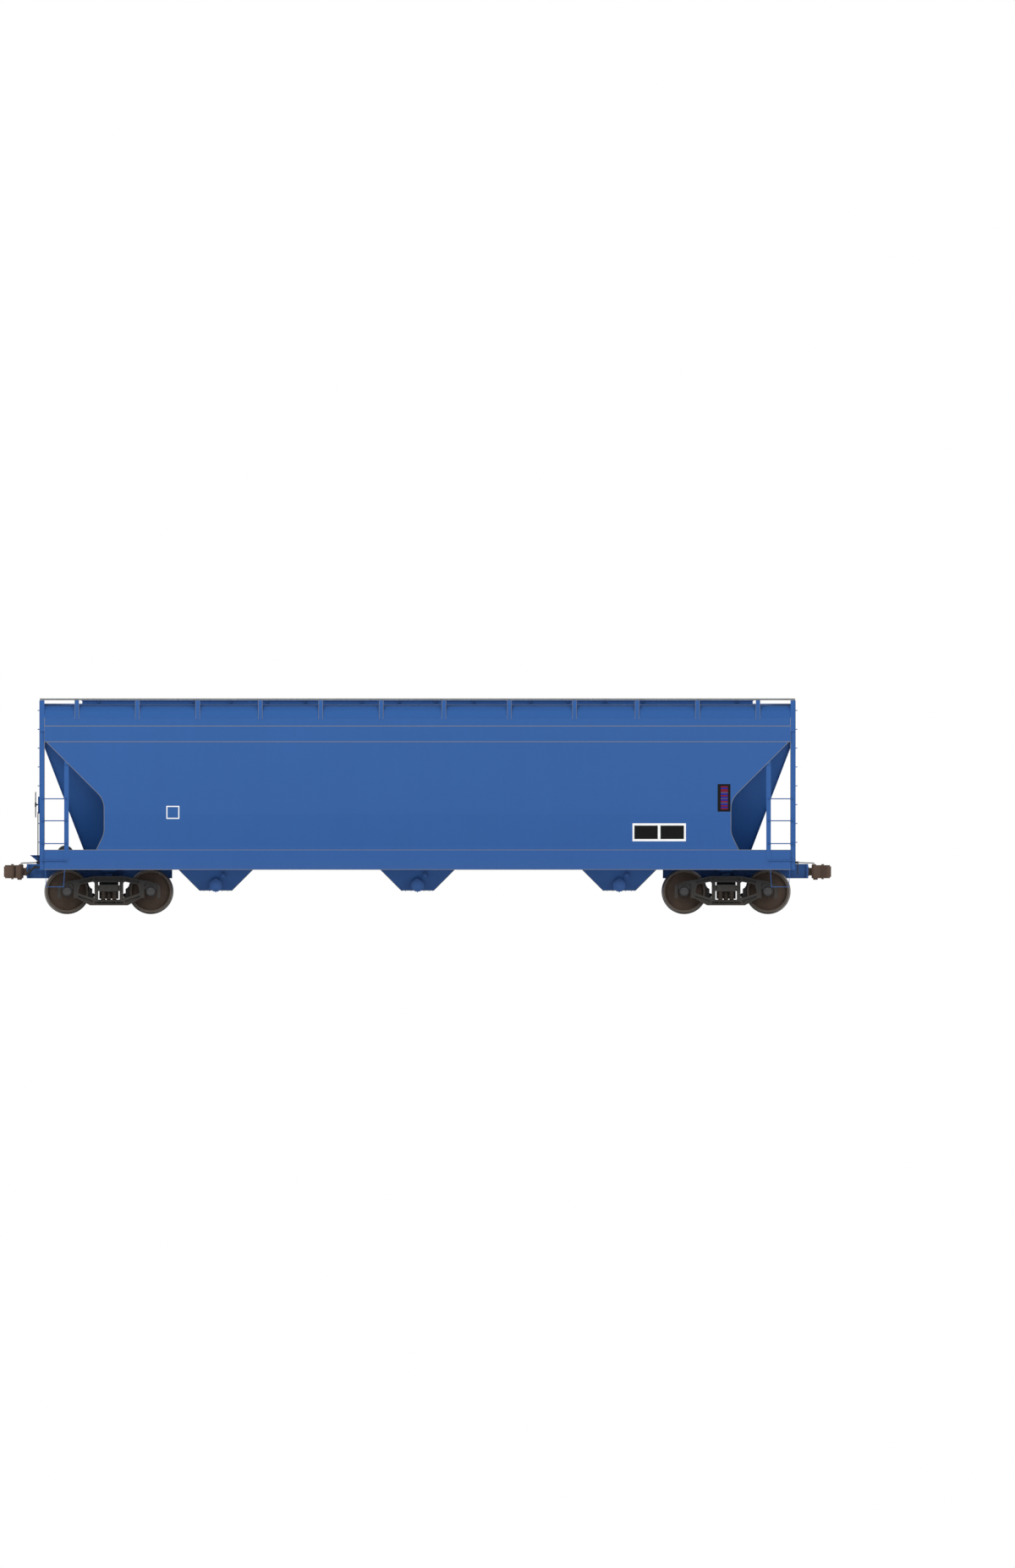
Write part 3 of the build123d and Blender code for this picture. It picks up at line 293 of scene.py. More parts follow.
# Wheelsets: polished treads, darker rims, rusty plates and axles, dark bearings

wheelLook = {
    "tread": rgb(150, 148, 145),
    "rim": rgb(88, 80, 72),
    "plate": rgb(74, 58, 46),
    "bearing": rgb(44, 44, 46),
    "wheelSpan": (0.66, 0.84),  # distances from the car's middle line
    "treadSpan": (0.7, 0.818),
    "flangeSide": 0.702,
    "bearingSide": 0.875,
    "rimRadius": 0.398, "treadRadius": 0.4435, "flangeRadius": 0.470,
    "cloudScale": 5.0, "speckScale": 90.0, "ringScale": 900.0,
    "roughness": 0.7, "specular": 0.4,
    "reliefDepth": 0.001, "reliefStrength": 0.5,
}


def wheelSteel(name, centreX):
    look = wheelLook
    paint = Paint(name)
    x, y, z = paint.axes(paint.place(centre=(centreX, 0, axleHeight)))
    radius = (x * x + z * z) ** 0.5
    side = y.size()
    clouds = paint.noise(look["cloudScale"], 5.0)
    speck = paint.noise(look["speckScale"], 3.0)
    rings = (radius * look["ringScale"]).do("SINE") * 0.5 + 0.5
    onWheel = side.within(*look["wheelSpan"])
    tread = (radius > look["treadRadius"]) * side.within(*look["treadSpan"])
    flangeEdge = (radius > look["flangeRadius"]) * (side < look["flangeSide"]) * onWheel
    rim = (radius > look["rimRadius"]) * onWheel
    rusty = paint.shade(look["plate"], 0.75 + clouds * 0.5)
    colour = paint.mix(rim * 0.8, rusty, paint.shade(look["rim"], 0.8 + clouds * 0.4))
    shiny = tread * 0.9 + flangeEdge * 0.7
    colour = paint.mix(shiny, colour, paint.shade(look["tread"], 0.85 + rings * 0.1 + speck * 0.1))
    bearing = paint.shade(look["bearing"], 0.8 + clouds * 0.4)
    colour = paint.mix(side > look["bearingSide"], colour, bearing)
    bump = paint.bump(speck * 0.8 + rings * 0.1, look["reliefDepth"], look["reliefStrength"])
    roughness = look["roughness"] - shiny * 0.35 + (speck - 0.5) * 0.1
    return paint.close(colour, roughness, look["specular"], shiny * 0.9, bump)


# Flat paints of the marks and the grey seams

flatLook = {
    "markWhite": rgb(240, 241, 240),
    "markBlack": rgb(8, 8, 9),
    "barRed": rgb(128, 22, 48),
    "barBlue": rgb(32, 34, 158),
    "barDark": rgb(84, 80, 122),
    "seamGrey": rgb(124, 126, 128),
}


def flatPaint(name):
    paint = Paint(name)
    clouds = paint.noise(6.0, 4.0)
    speck = paint.noise(120.0, 3.0)
    shaded = paint.shade(flatLook[name], 0.96 + (clouds - 0.5) * 0.10 + (speck - 0.5) * 0.04)
    return paint.close(shaded, 0.5 + clouds * 0.1, 0.15, normal=paint.bump(speck, 0.0004, 0.3))


# Materials of the carried-over nodes

blue = bodyPaint("bodyBlue")
gratingSteel = galvanised("galvanisedGrating")
truckSteel, couplerSteel, brakeSteel, springSteel, bearingSteel = [castSteel(name) for name in castLook]
*markPaints, seamPaint = [flatPaint(name) for name in flatLook]
slotMaterials = {
    "body_paint": blue,
    "galvanised": gratingSteel,
    "truck_black": truckSteel,
    "coupler_steel": couplerSteel,
}
nodeSlots = {entry["node"]: entry["material_slot"] for entry in frame["record"]["subparts"]}
for name, node in nodes.items():
    slotName = nodeSlots[name]
    if slotName == "wheel_steel":
        low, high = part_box(name)
        look = wheelSteel(name + "Steel", (low[0] + high[0]) / 2)
    elif slotName == "truck_black" and name.startswith("brake_"):
        look = brakeSteel
    else:
        look = slotMaterials[slotName]
    node.data.materials.clear()
    node.data.materials.append(look)
print("stage: node materials set")


# Piece builder: each solid is shaped in a bmesh of its own and added to one mesh

boltStages = (  # washer, nut and stud end: start, end, radius, sides and tip radius for a bolt of size 1
    (-0.1, 0.2, 1.0, 12, 1.0),
    (0.2, 0.8, 0.8, 6, 0.8),
    (0.8, 1.2, 0.45, 8, 0.35),
)


class Shape:
    def __init__(self):
        self.verts = []
        self.faces = []
        self.paints = []

    def take(self, bm, paint=0):
        bmesh.ops.recalc_face_normals(bm, faces=bm.faces[:])
        bm.verts.index_update()
        base = len(self.verts)
        self.verts += [vert.co.copy() for vert in bm.verts]
        self.faces += [[base + vert.index for vert in face.verts] for face in bm.faces]
        self.paints += [paint] * len(bm.faces)
        bm.free()

    def block(self, corner, opposite, soften=0.0, paint=0):  # any two opposite corners
        size = [abs(b - a) for a, b in zip(corner, opposite)]
        middle = [(a + b) / 2 for a, b in zip(corner, opposite)]
        bm = bmesh.new()
        place = Matrix.Translation(middle) @ Matrix.Diagonal((*size, 1.0))
        bmesh.ops.create_cube(bm, size=1.0, matrix=place)
        if soften:
            bmesh.ops.bevel(
                bm, geom=bm.edges[:], offset=soften, segments=2, profile=0.5, affect="EDGES", material=-1)
        self.take(bm, paint)

    def bar(self, start, end, radius, sides=12, tip=None, paint=0):
        start, end = Vector(start), Vector(end)
        along = end - start
        turn = along.to_track_quat("Z", "Y").to_matrix().to_4x4()
        bm = bmesh.new()
        bmesh.ops.create_cone(
            bm, cap_ends=True, segments=sides, radius1=radius, radius2=radius if tip is None else tip,
            depth=along.length, matrix=Matrix.Translation((start + end) / 2) @ turn)
        self.take(bm, paint)

    def turned(self, centre, axis, profile, steps):
        centre, axis = Vector(centre), Vector(axis).normalized()
        out = axis.orthogonal().normalized()
        bm = bmesh.new()
        verts = [bm.verts.new(centre + axis * along + out * radius) for along, radius in profile]
        edges = [bm.edges.new(pair) for pair in zip(verts, verts[1:])]
        bmesh.ops.spin(
            bm, geom=verts + edges, cent=centre, axis=axis, angle=math.tau, steps=steps, use_merge=True)
        bmesh.ops.remove_doubles(bm, verts=bm.verts[:], dist=mergeGap)
        self.take(bm)

    def bolt(self, place, axis, size):
        place, axis = Vector(place), Vector(axis).normalized()
        for low, high, radius, sides, tip in boltStages:
            start, end = place + axis * size * low, place + axis * size * high
            self.bar(start, end, size * radius, sides, size * tip)

    def tube(self, stops, radius, bend=0.0):  # rounded at each stop over the length of the bend
        stops = [Vector(stop) for stop in stops]
        points = stops
        if bend:
            points = [stops[0]]
            for before, corner, after in zip(stops, stops[1:], stops[2:]):
                near = corner + (before - corner).normalized() * bend
                far = corner + (after - corner).normalized() * bend
                points += [near, corner, far]
            points.append(stops[-1])
        curve = bpy.data.curves.new("route", "CURVE")
        curve.dimensions = "3D"
        curve.bevel_depth = radius
        curve.bevel_resolution = 3
        curve.use_fill_caps = True
        spline = curve.splines.new("NURBS" if bend else "POLY")
        spline.points.add(len(points) - 1)
        for point, place in zip(spline.points, points):
            point.co = (*place, 1.0)
        if bend:
            spline.order_u = 3
            spline.use_endpoint_u = True
            spline.resolution_u = 6
        holder = bpy.data.objects.new("route", curve)
        mesh = bpy.data.meshes.new_from_object(holder)
        bm = bmesh.new()
        bm.from_mesh(mesh)
        bmesh.ops.remove_doubles(bm, verts=bm.verts[:], dist=mergeGap)
        self.take(bm)
        bpy.data.objects.remove(holder)
        bpy.data.curves.remove(curve)
        bpy.data.meshes.remove(mesh)

    def plate(self, corners, thickness, paint=0):
        bm = bmesh.new()
        face = bm.faces.new([bm.verts.new(corner) for corner in corners])
        made = bmesh.ops.extrude_face_region(bm, geom=[face])
        moved = [item for item in made["geom"] if isinstance(item, bmesh.types.BMVert)]
        bmesh.ops.translate(bm, verts=moved, vec=thickness)
        self.take(bm, paint)


def newPiece(name, shape, body, materials, replaced=(), smooth=False):
    mesh = bpy.data.meshes.new(name)
    mesh.from_pydata(shape.verts, [], shape.faces)
    for material in materials:
        mesh.materials.append(material)
    mesh.polygons.foreach_set("material_index", shape.paints)
    mesh.polygons.foreach_set("use_smooth", [smooth] * len(shape.faces))
    mesh.update()
    piece = bpy.data.objects.new(name, mesh)
    scene.collection.objects.link(piece)
    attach(piece, body)
    if replaced:
        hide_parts(*replaced)


# Spring groups: outer and inner coils between the spring seat and the bolster

springLook = {
    "places": ((-0.12, -0.062), (-0.12, 0.062), (0.12, -0.062), (0.12, 0.062), (0.0, 0.0)),
    "coils": ((0.042, 0.0105, 6), (0.021, 0.006, 9)),  # coil radius, wire radius and turns
    "steps": 18,
    "wireSides": 8,
}


def helix(shape, foot, height, radius, wire, turns):
    bm = bmesh.new()
    made = bmesh.ops.create_circle(bm, segments=springLook["wireSides"], radius=wire)
    turn = Matrix.Rotation(math.radians(90), 4, "X")
    start = Matrix.Translation(Vector(foot) + Vector((radius, 0, wire)))
    bmesh.ops.transform(bm, verts=made["verts"], matrix=start @ turn)
    edges = bm.edges[:]
    steps = turns * springLook["steps"]
    rise = Vector((0, 0, (height - 2 * wire) / steps))
    made = bmesh.ops.spin(
        bm, geom=bm.verts[:] + edges, cent=foot, axis=(0, 0, 1), dvec=rise, angle=math.tau * turns,
        steps=steps)
    last = [item for item in made["geom_last"] if isinstance(item, bmesh.types.BMEdge)]
    bmesh.ops.edgeloop_fill(bm, edges=last)
    bmesh.ops.edgeloop_fill(bm, edges=edges)
    shape.take(bm)


def addSprings(name):
    node = "spring_groups_" + name
    low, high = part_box(node)
    middleX = (low[0] + high[0]) / 2
    shape = Shape()
    for side in sides:
        for dx, dy in springLook["places"]:
            foot = (middleX + dx, side * journalY + dy, low[2])
            for radius, wire, turns in springLook["coils"]:
                helix(shape, foot, high[2] - low[2], radius, wire, turns)
    newPiece("springCoils_" + name, shape, "truck_" + name, [springSteel], [node], smooth=True)


for name in ends:
    addSprings(name)
print("stage: springs")


# Running board gratings: bearing bars across the boards and rods along them

gratingLook = {
    "pitch": 0.045, "bar": 0.004, "deep": 0.030, "rod": 0.004,
    "inner": 0.694, "outer": 1.289, "endLength": 0.49,
    "rows": 6,
    "below": 0.001, "inset": 0.003,  # from the frame's top and end
}


def addGrating():
    look = gratingLook
    low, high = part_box("running_boards")
    top, reach = high[2] - look["below"], high[0] - look["inset"]
    inner, outer, rod, rows = look["inner"], look["outer"], look["rod"], look["rows"]
    foot, rodZ = top - look["deep"], top - rod
    shape = Shape()
    count = int(2 * reach / look["pitch"])
    for i in range(count):
        x = -reach + (i + 0.5) * 2 * reach / count
        near, far = x - look["bar"] / 2, x + look["bar"] / 2
        for side in sides:
            shape.block((near, side * inner, foot), (far, side * outer, top))
        if abs(x) > reach - look["endLength"]:
            shape.block((near, -inner, foot), (far, inner, top))
    for i in range(rows):
        y = inner + (i + 0.5) * (outer - inner) / rows
        for side in sides:
            shape.bar((-reach, side * y, rodZ), (reach, side * y, rodZ), rod, 6)
    for i in range(2 * rows):
        y = (i + 0.5 - rows) * inner / rows
        for end in ends.values():
            shape.bar((end * (reach - look["endLength"]), y, rodZ), (end * reach, y, rodZ), rod, 6)
    newPiece("boardGrating", shape, "carbody", [gratingSteel])


addGrating()
print("stage: gratings")


# Marks of the drawn side, all blank: stencil panels, car label and small square

markLook = {
    "proud": 0.002, "topProud": 0.0032, "back": 0.0014,
    "panels": ((4.566, 5.700), (1.522, 1.903)),  # spans along the car and in height
    "fields": (((4.604, 5.103), (1.569, 1.856)), ((5.159, 5.658), (1.569, 1.856))),
    "label": ((6.373, 6.645), (2.151, 2.736)),
    "labelBars": ((6.441, 6.592), (2.196, 2.692)),
    "labelRows": (2, 3, 2, 3, 4, 2, 3, 4, 3, 2, 3, 4, 2, 2, 3, 2),  # paints from the foot up
    "barFill": (0.15, 0.85),
    "square": ((-5.333, -5.058), (1.998, 2.273)),
    "line": 0.022,
}


def sideTile(shape, spanX, spanZ, lift, paint):
    cuts = [spanZ[0]] + [taperTop] * (spanZ[0] < taperTop < spanZ[1]) + [spanZ[1]]
    for low, high in zip(cuts, cuts[1:]):
        corners = []
        for x, z in ((spanX[0], low), (spanX[1], low), (spanX[1], high), (spanX[0], high)):
            corners.append((x, -sideSurface(z) - lift, up(z)))
        shape.plate(corners, (0, markLook["back"], 0), paint)


def addMarks():
    look = markLook
    shape = Shape()
    sideTile(shape, *look["panels"], look["proud"], 0)
    for spanX, spanZ in look["fields"]:
        sideTile(shape, spanX, spanZ, look["topProud"], 1)
    sideTile(shape, *look["label"], look["proud"], 1)
    barX, (low, high) = look["labelBars"]
    step = (high - low) / len(look["labelRows"])
    for i, paint in enumerate(look["labelRows"]):
        z = low + i * step
        sideTile(shape, barX, [z + step * fill for fill in look["barFill"]], look["topProud"], paint)
    (left, right), (foot, top) = look["square"]
    line = look["line"]
    for spanX, spanZ in (
            ((left, right), (foot, foot + line)),
            ((left, right), (top - line, top)),
            ((left, left + line), (foot + line, top - line)),
            ((right - line, right), (foot + line, top - line))):
        sideTile(shape, spanX, spanZ, look["proud"], 0)
    newPiece("sideMarks", shape, "carbody", markPaints)


addMarks()
print("stage: marks")


# Seams and edges of the body as fine beads, grey but for the one under the roof

seamLook = {
    "bead": 0.008, "fine": 0.006, "thin": 0.005,
    "inset": 0.002,
    "laps": (3.969, 3.636),
    "roof": 4.143,
    "sill": ((1.337, 0.004), (0.921, 0.002)),  # height and inset
    "edge": ((7.886, 3.636), (6.656, 2.406), (6.656, 1.680), (6.823, 1.337)),  # end of the sheet: x, height
    "edgeRadius": 0.44,
    "post": ((1.5855, 3.84), (1.5855, 2.11), (1.524, 1.427)),  # half width and height
    "eave": ((1.6156, 3.852), (1.6156, 4.148)),
    "brackets": (-7.235, -5.951, -4.667, -3.338, -2.055, -0.770, 0.559, 1.951, 3.334, 4.663, 5.947, 7.231),
    "bracketHalf": 0.0435,
    "strap": ((1.6205, 4.123), (1.6205, 4.147), (1.3205, 4.514)),
    "strapFoot": 4.124,
    "hopperFoot": (0.345, 0.759, 0.477),
    "hopperHead": (0.865, 1.279, 0.997),
    "outletHeight": 0.479,
}


def filleted(points, radius, steps=6):
    points = [Vector(point) for point in points]
    path = [points[0]]
    for before, corner, after in zip(points, points[1:], points[2:]):
        back, on = (before - corner).normalized(), (after - corner).normalized()
        half = back.angle(on) / 2
        centre = corner + (back + on).normalized() * (radius / math.sin(half))
        reach = radius / math.tan(half)
        first, last = corner + back * reach - centre, corner + on * reach - centre
        for i in range(steps + 1):
            path.append(centre + first.lerp(last, i / steps).normalized() * radius)
    path.append(points[-1])
    return path


def addBodySeams(shape, side, edge):
    look = seamLook
    fine, inset = look["fine"], look["inset"]

    def along(y, height, radius, paint=0):
        shape.bar((-bodyX, side * y, up(height)), (bodyX, side * y, up(height)), radius, 8, paint=paint)

    for height in look["laps"]:
        along(sheetHalf, height, look["bead"])
    along(sheetHalf - inset, look["roof"], fine, 1)
    for height, sillInset in look["sill"]:
        along(sillHalf - sillInset, height, fine)
    for end in ends.values():
        shape.tube([(end * x, side * (sideSurface(z) - inset), up(z)) for x, z in edge], fine)
        for line in (look["post"], look["eave"]):
            for (y, z), (nextY, nextZ) in zip(line, line[1:]):
                start, stop = (end * bodyX, side * y, up(z)), (end * bodyX, side * nextY, up(nextZ))
                shape.bar(start, stop, fine, 8)


def addBracketSeams(shape, side, x):
    look = seamLook
    half, strap, thin = look["bracketHalf"], look["strap"], look["thin"]
    for edgeX in (x - half, x + half):
        for (y, z), (nextY, nextZ) in zip(strap, strap[1:]):
            shape.bar((edgeX, side * y, up(z)), (edgeX, side * nextY, up(nextZ)), thin, 6)
    y, z = side * strap[0][0], up(look["strapFoot"])
    shape.bar((x - half, y, z), (x + half, y, z), thin, 6)


def addHopperSeams(shape, x):
    look = seamLook
    fine, z = look["fine"], up(look["outletHeight"])
    footX, footY, footHeight = look["hopperFoot"]
    headX, headY, headHeight = look["hopperHead"]
    for side in sides:
        for way in (-1, 1):
            foot = (x + way * footX, side * footY, up(footHeight))
            shape.bar(foot, (x + way * headX, side * headY, up(headHeight)), fine, 8)
        shape.bar((x - footX, side * footY, z), (x + footX, side * footY, z), fine, 8)
        shape.bar((x + side * footX, -footY, z), (x + side * footX, footY, z), fine, 8)


def addSeams():
    edge = filleted(seamLook["edge"], seamLook["edgeRadius"])
    knee = next(i for i, point in enumerate(edge) if point[1] < taperTop)
    edge.insert(knee, Vector((edge[knee][0], taperTop)))
    shape = Shape()
    for side in sides:
        addBodySeams(shape, side, edge)
        for x in seamLook["brackets"]:
            addBracketSeams(shape, side, x)
    for x in outletPlaces:
        addHopperSeams(shape, x)
    newPiece("seamLines", shape, "carbody", [seamPaint, blue])


addSeams()
print("stage: seams")


# Webs that close the V braces against the body behind the sheet edges

webLook = {
    "foot": (0.210, 1.247),  # half width and height on the brace's line
    "head": (1.358, 3.493),
    "outline": ((6.600, 1.195), (6.725, 1.195), (6.725, 2.556), (6.600, 2.431)),  # x, height
    "thick": 0.010,
}


def addWebs():
    look = webLook
    (footY, footHeight), (headY, headHeight) = look["foot"], look["head"]
    lean = (headY - footY) / (headHeight - footHeight)
    shape = Shape()
    for end in ends.values():
        for side in sides:
            corners = []
            for x, height in look["outline"]:
                y = footY + (height - footHeight) * lean - look["thick"] / 2
                corners.append((end * x, side * y, up(height)))
            shape.plate(corners, (0, side * look["thick"], 0))
    newPiece("braceWebs", shape, "carbody", [blue])


addWebs()
print("stage: brace webs")


# Hatch hold-downs: bars with forks and eye bolts on the covers, ears and pins on the coaming.
# Depths are measured from the cover's top, places from its middle.

latchLook = {
    "coverPitch": 3.58,
    "top": 4.546,
    "places": (-1.4, -0.6, 0.6, 1.4),
    "eyeY": -0.386,
    "bar": ((-0.018, -0.350, -0.001), (0.018, 0.332, 0.006)),
    "fork": ((0.015, -0.404, -0.006), (0.008, -0.348, 0.006)),
    "rod": (0.0065, -0.092, 0.004),  # radius and depths
    "nut": (0.013, 0.0045, 0.0095),
    "bolt": (0.300, 0.0055, 0.0035),  # y, depth and size
}
keeperLook = {
    "ear": ((0.013, -0.400, -0.105), (0.021, -0.328, -0.055)),
    "pin": (0.027, -0.084, 0.005),  # half length, depth and radius
}


def addLatches(index):
    look = latchLook
    node = "hatch_cover_%d" % index
    low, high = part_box(node)
    middle = (low[0] + high[0]) / 2
    top, eyeY = up(look["top"]), look["eyeY"]
    rod, rodFoot, rodTop = look["rod"]
    nut, nutFoot, nutTop = look["nut"]
    boltY, boltDepth, bolt = look["bolt"]
    shape = Shape()
    for place in look["places"]:
        x = middle + place
        for part, ways, soften in (("bar", (1,), 0.002), ("fork", (-1, 1), 0.0015)):
            for way in ways:
                corners = [(x + way * dx, y, top + dz) for dx, y, dz in look[part]]
                shape.block(*corners, soften)
        shape.bar((x, eyeY, top + rodFoot), (x, eyeY, top + rodTop), rod, 10)
        shape.bar((x, eyeY, top + nutFoot), (x, eyeY, top + nutTop), nut, 6)
        shape.bolt((x, boltY, top + boltDepth), (0, 0, 1), bolt)
    newPiece("hatchLatches_%d" % index, shape, node, [blue])


def addKeepers():
    look = keeperLook
    top, y = up(latchLook["top"]), latchLook["eyeY"]
    pinHalf, pinDepth, pin = look["pin"]
    shape = Shape()
    for cover in range(4):
        for place in latchLook["places"]:
            x = (cover - 1.5) * latchLook["coverPitch"] + place
            for way in (-1, 1):
                corners = [(x + way * dx, earY, top + dz) for dx, earY, dz in look["ear"]]
                shape.block(*corners, 0.003)
            shape.bar((x - pinHalf, y, top + pinDepth), (x + pinHalf, y, top + pinDepth), pin, 10)
    newPiece("latchKeepers", shape, "carbody", [blue])


for index in (1, 2, 3, 4):
    addLatches(index)
addKeepers()
print("stage: hatch fittings")


# Outlets: flange bolts, the operating shafts of the valves, and the pans beside the tubes

outletLook = {
    "tubeHeight": 0.585,
    "boltY": 1.0465, "boltRing": 0.119, "boltCount": 8, "bolt": 0.010,
    "shaftX": 0.16, "shaftHeight": 0.800, "shaft": 0.018, "shaftSpan": (1.025, 1.195),
    "boss": ((-0.05, 1.045, -0.05), (0.05, 1.115, 0.05)),  # from the shaft's middle
    "capstan": ((0.0, 0.0), (0.0, 0.042), (0.026, 0.046), (0.032, 0.034), (0.032, 0.0)),
    "pawl": ((-0.018, 1.173, 0.01), (0.018, 1.189, 0.13)),
}
panLook = {
    "near": 0.046, "far": 0.345, "half": 0.757, "foot": 0.476, "thick": 0.006,
    "ribs": (0.135, 0.255), "ribHalf": 0.005, "ribDepth": 0.020, "ribInset": 0.02,
    "bolts": 9, "boltInset": 0.022, "boltEnd": 0.04, "bolt": 0.010,
}


def addOutletFittings():
    look = outletLook
    z, ring = up(look["shaftHeight"]), look["boltRing"]
    near, far = look["shaftSpan"]
    shape = Shape()
    for x in outletPlaces:
        shaftX = x + look["shaftX"]
        for side in sides:
            for i in range(look["boltCount"]):
                turn = math.tau * (i + 0.5) / look["boltCount"]
                place = (x + ring * math.cos(turn), side * look["boltY"],
                         up(look["tubeHeight"]) + ring * math.sin(turn))
                shape.bolt(place, (0, -side, 0), look["bolt"])
            shape.bar((shaftX, side * near, z), (shaftX, side * far, z), look["shaft"], 14)
            shape.turned((shaftX, side * far, z), (0, side, 0), look["capstan"], 20)
            for part, soften in (("boss", 0.006), ("pawl", 0.004)):
                corners = [(shaftX + dx, side * y, z + dz) for dx, y, dz in look[part]]
                shape.block(*corners, soften)
    newPiece("outletFittings", shape, "carbody", [blue])


def addOutletPans():
    look = panLook
    half, foot = look["half"], up(look["foot"])
    ribY, boltY = half - look["ribInset"], half - look["boltEnd"]
    shape = Shape()
    for x in outletPlaces:
        for way in (-1, 1):
            near, far = x + way * look["near"], x + way * look["far"]
            shape.block((near, -half, foot), (far, half, foot + look["thick"]))
            for rib in look["ribs"]:
                left, right = x + way * rib - look["ribHalf"], x + way * rib + look["ribHalf"]
                shape.block((left, -ribY, foot - look["ribDepth"]), (right, ribY, foot + 0.001), 0.002)
            for i in range(look["bolts"]):
                y = (i / (look["bolts"] - 1) - 0.5) * 2 * boltY
                shape.bolt((far - way * look["boltInset"], y, foot + 0.0005), (0, 0, -1), look["bolt"])
    newPiece("outletPans", shape, "carbody", [blue])


addOutletFittings()
addOutletPans()
print("stage: outlet fittings")


# Trucks: ribs and bolts of the castings, lips of the bolster ends, and the brake levers.
# Places are measured from the truck's middle, the axle's height and the journal's middle.

truckLook = {
    "ribs": (  # x, half length, low, high, face and rise from it
        (0.266, 0.028, -0.170, 0.200, 0.075, 0.008),
        (0.715, 0.022, -0.120, 0.110, 0.075, 0.010),
        (axleOffset, 0.112, 0.156, 0.178, 0.084, 0.006)),
    "bolts": (  # x, height, face and size
        (0.266, -0.10, 0.083, 0.015), (0.266, 0.0, 0.083, 0.015), (0.266, 0.10, 0.083, 0.015),
        (0.804, 0.167, 0.090, 0.008), (0.974, 0.167, 0.090, 0.008)),
    "beamFace": (1.1195, 1.126),
    "beamEnd": (  # near, far, low and high
        (-0.200, 0.200, 0.122, 0.140), (-0.200, 0.200, -0.002, 0.014), (-0.200, -0.180, 0.012, 0.124),
        (0.180, 0.200, 0.012, 0.124), (-0.070, -0.058, 0.012, 0.124), (0.058, 0.070, 0.012, 0.124)),
    "lever": 0.272,
    "leverBox": ((-0.012, -0.045, -0.215), (0.012, 0.0, 0.190)),
    "leverY": -0.0225,
    "pins": (-0.190, -0.02, 0.165),
    "pinHalf": 0.03, "pin": 0.012, "pullRod": 0.016,
}


def addTruckTrim(name, end):
    look = truckLook
    centre = end * truckX
    shape = Shape()
    for side in sides:
        for way in (-1, 1):
            for along, half, low, high, face, proud in look["ribs"]:
                x, inner, outer = centre + way * along, journalY + face - 0.002, journalY + face + proud
                corner = (x - half, side * inner, axleHeight + low)
                shape.block(corner, (x + half, side * outer, axleHeight + high), 0.005)
            for along, height, face, size in look["bolts"]:
                place = (centre + way * along, side * (journalY + face), axleHeight + height)
                shape.bolt(place, (0, side, 0), size)
        inner, outer = look["beamFace"]
        for near, far, low, high in look["beamEnd"]:
            corner = (centre + near, side * inner, axleHeight + low)
            shape.block(corner, (centre + far, side * outer, axleHeight + high), 0.002)
    y = look["leverY"]
    for way in (-1, 1):
        lever = centre + way * look["lever"]
        shape.block(*[(lever + dx, dy, axleHeight + dz) for dx, dy, dz in look["leverBox"]], 0.004)
        for height in look["pins"]:
            z = axleHeight + height
            shape.bar((lever - look["pinHalf"], y, z), (lever + look["pinHalf"], y, z), look["pin"], 10)
    z = axleHeight + look["pins"][0]
    shape.bar((centre - look["lever"], y, z), (centre + look["lever"], y, z), look["pullRod"], 12)
    newPiece("truckTrim_" + name, shape, "truck_" + name, [truckSteel])


# Bearing caps with three bolts, and the bands round the bearing; profiles are along and out

bearingLook = {
    "face": 1.134,
    "cap": ((-0.001, 0.0), (-0.001, 0.083), (0.004, 0.080), (0.004, 0.0)),
    "boltRing": 0.048, "boltCount": 3, "bolt": 0.014, "boltOut": 0.004,
    "bands": (0.905, 1.000, 1.092),
    "band": ((-0.007, 0.111), (-0.005, 0.113), (0.005, 0.113), (0.007, 0.111)),
}


def addBearingCaps(index, x):
    look = bearingLook
    ring = look["boltRing"]
    shape = Shape()
    for side in sides:
        out = (0, side, 0)
        shape.turned((x, side * look["face"], axleHeight), out, look["cap"], 28)
        for i in range(look["boltCount"]):
            turn = math.tau * (i + 0.25) / look["boltCount"]
            y, z = side * (look["face"] + look["boltOut"]), axleHeight + ring * math.sin(turn)
            shape.bolt((x + ring * math.cos(turn), y, z), out, look["bolt"])
        for along in look["bands"]:
            shape.turned((x, side * along, axleHeight), out, look["band"], 36)
    newPiece("bearingCaps_%d" % index, shape, "wheelset_%d" % index, [bearingSteel])


for name, end in ends.items():
    addTruckTrim(name, end)
axles = [end * truckX + way * axleOffset for end in ends.values() for way in (-1, 1)]
for index, x in enumerate(axles):
    addBearingCaps(index + 1, x)
print("stage: trucks")


# Ends: uncoupling levers in their brackets, bolts of the striker and end sill, coupler fittings

endLook = {
    "lever": (
        (8.075, 1.43, 0.822), (8.075, 1.43, 1.052), (8.075, 1.32, 1.072),
        (8.075, 0.30, 1.072), (8.39, 0.10, 1.060), (8.42, 0.0, 1.052)),
    "bar": 0.011, "bend": 0.05,
    "brackets": (1.12, 0.36),
    "pad": ((-0.001, -0.032, 1.037), (0.008, 0.032, 1.147)),
    "eye": ((0.004, -0.006, 1.048), (0.075, 0.006, 1.096)),
    "padBolts": (0.007, 0.018, 1.127, 0.008),  # x, y, height and size
    "striker": (8.297, 0.205, (0.79, 0.88, 0.97), 0.014),
    "sillBolts": (0.19, 7, 1.165, 0.009),  # pitch, count a side, height and size
}


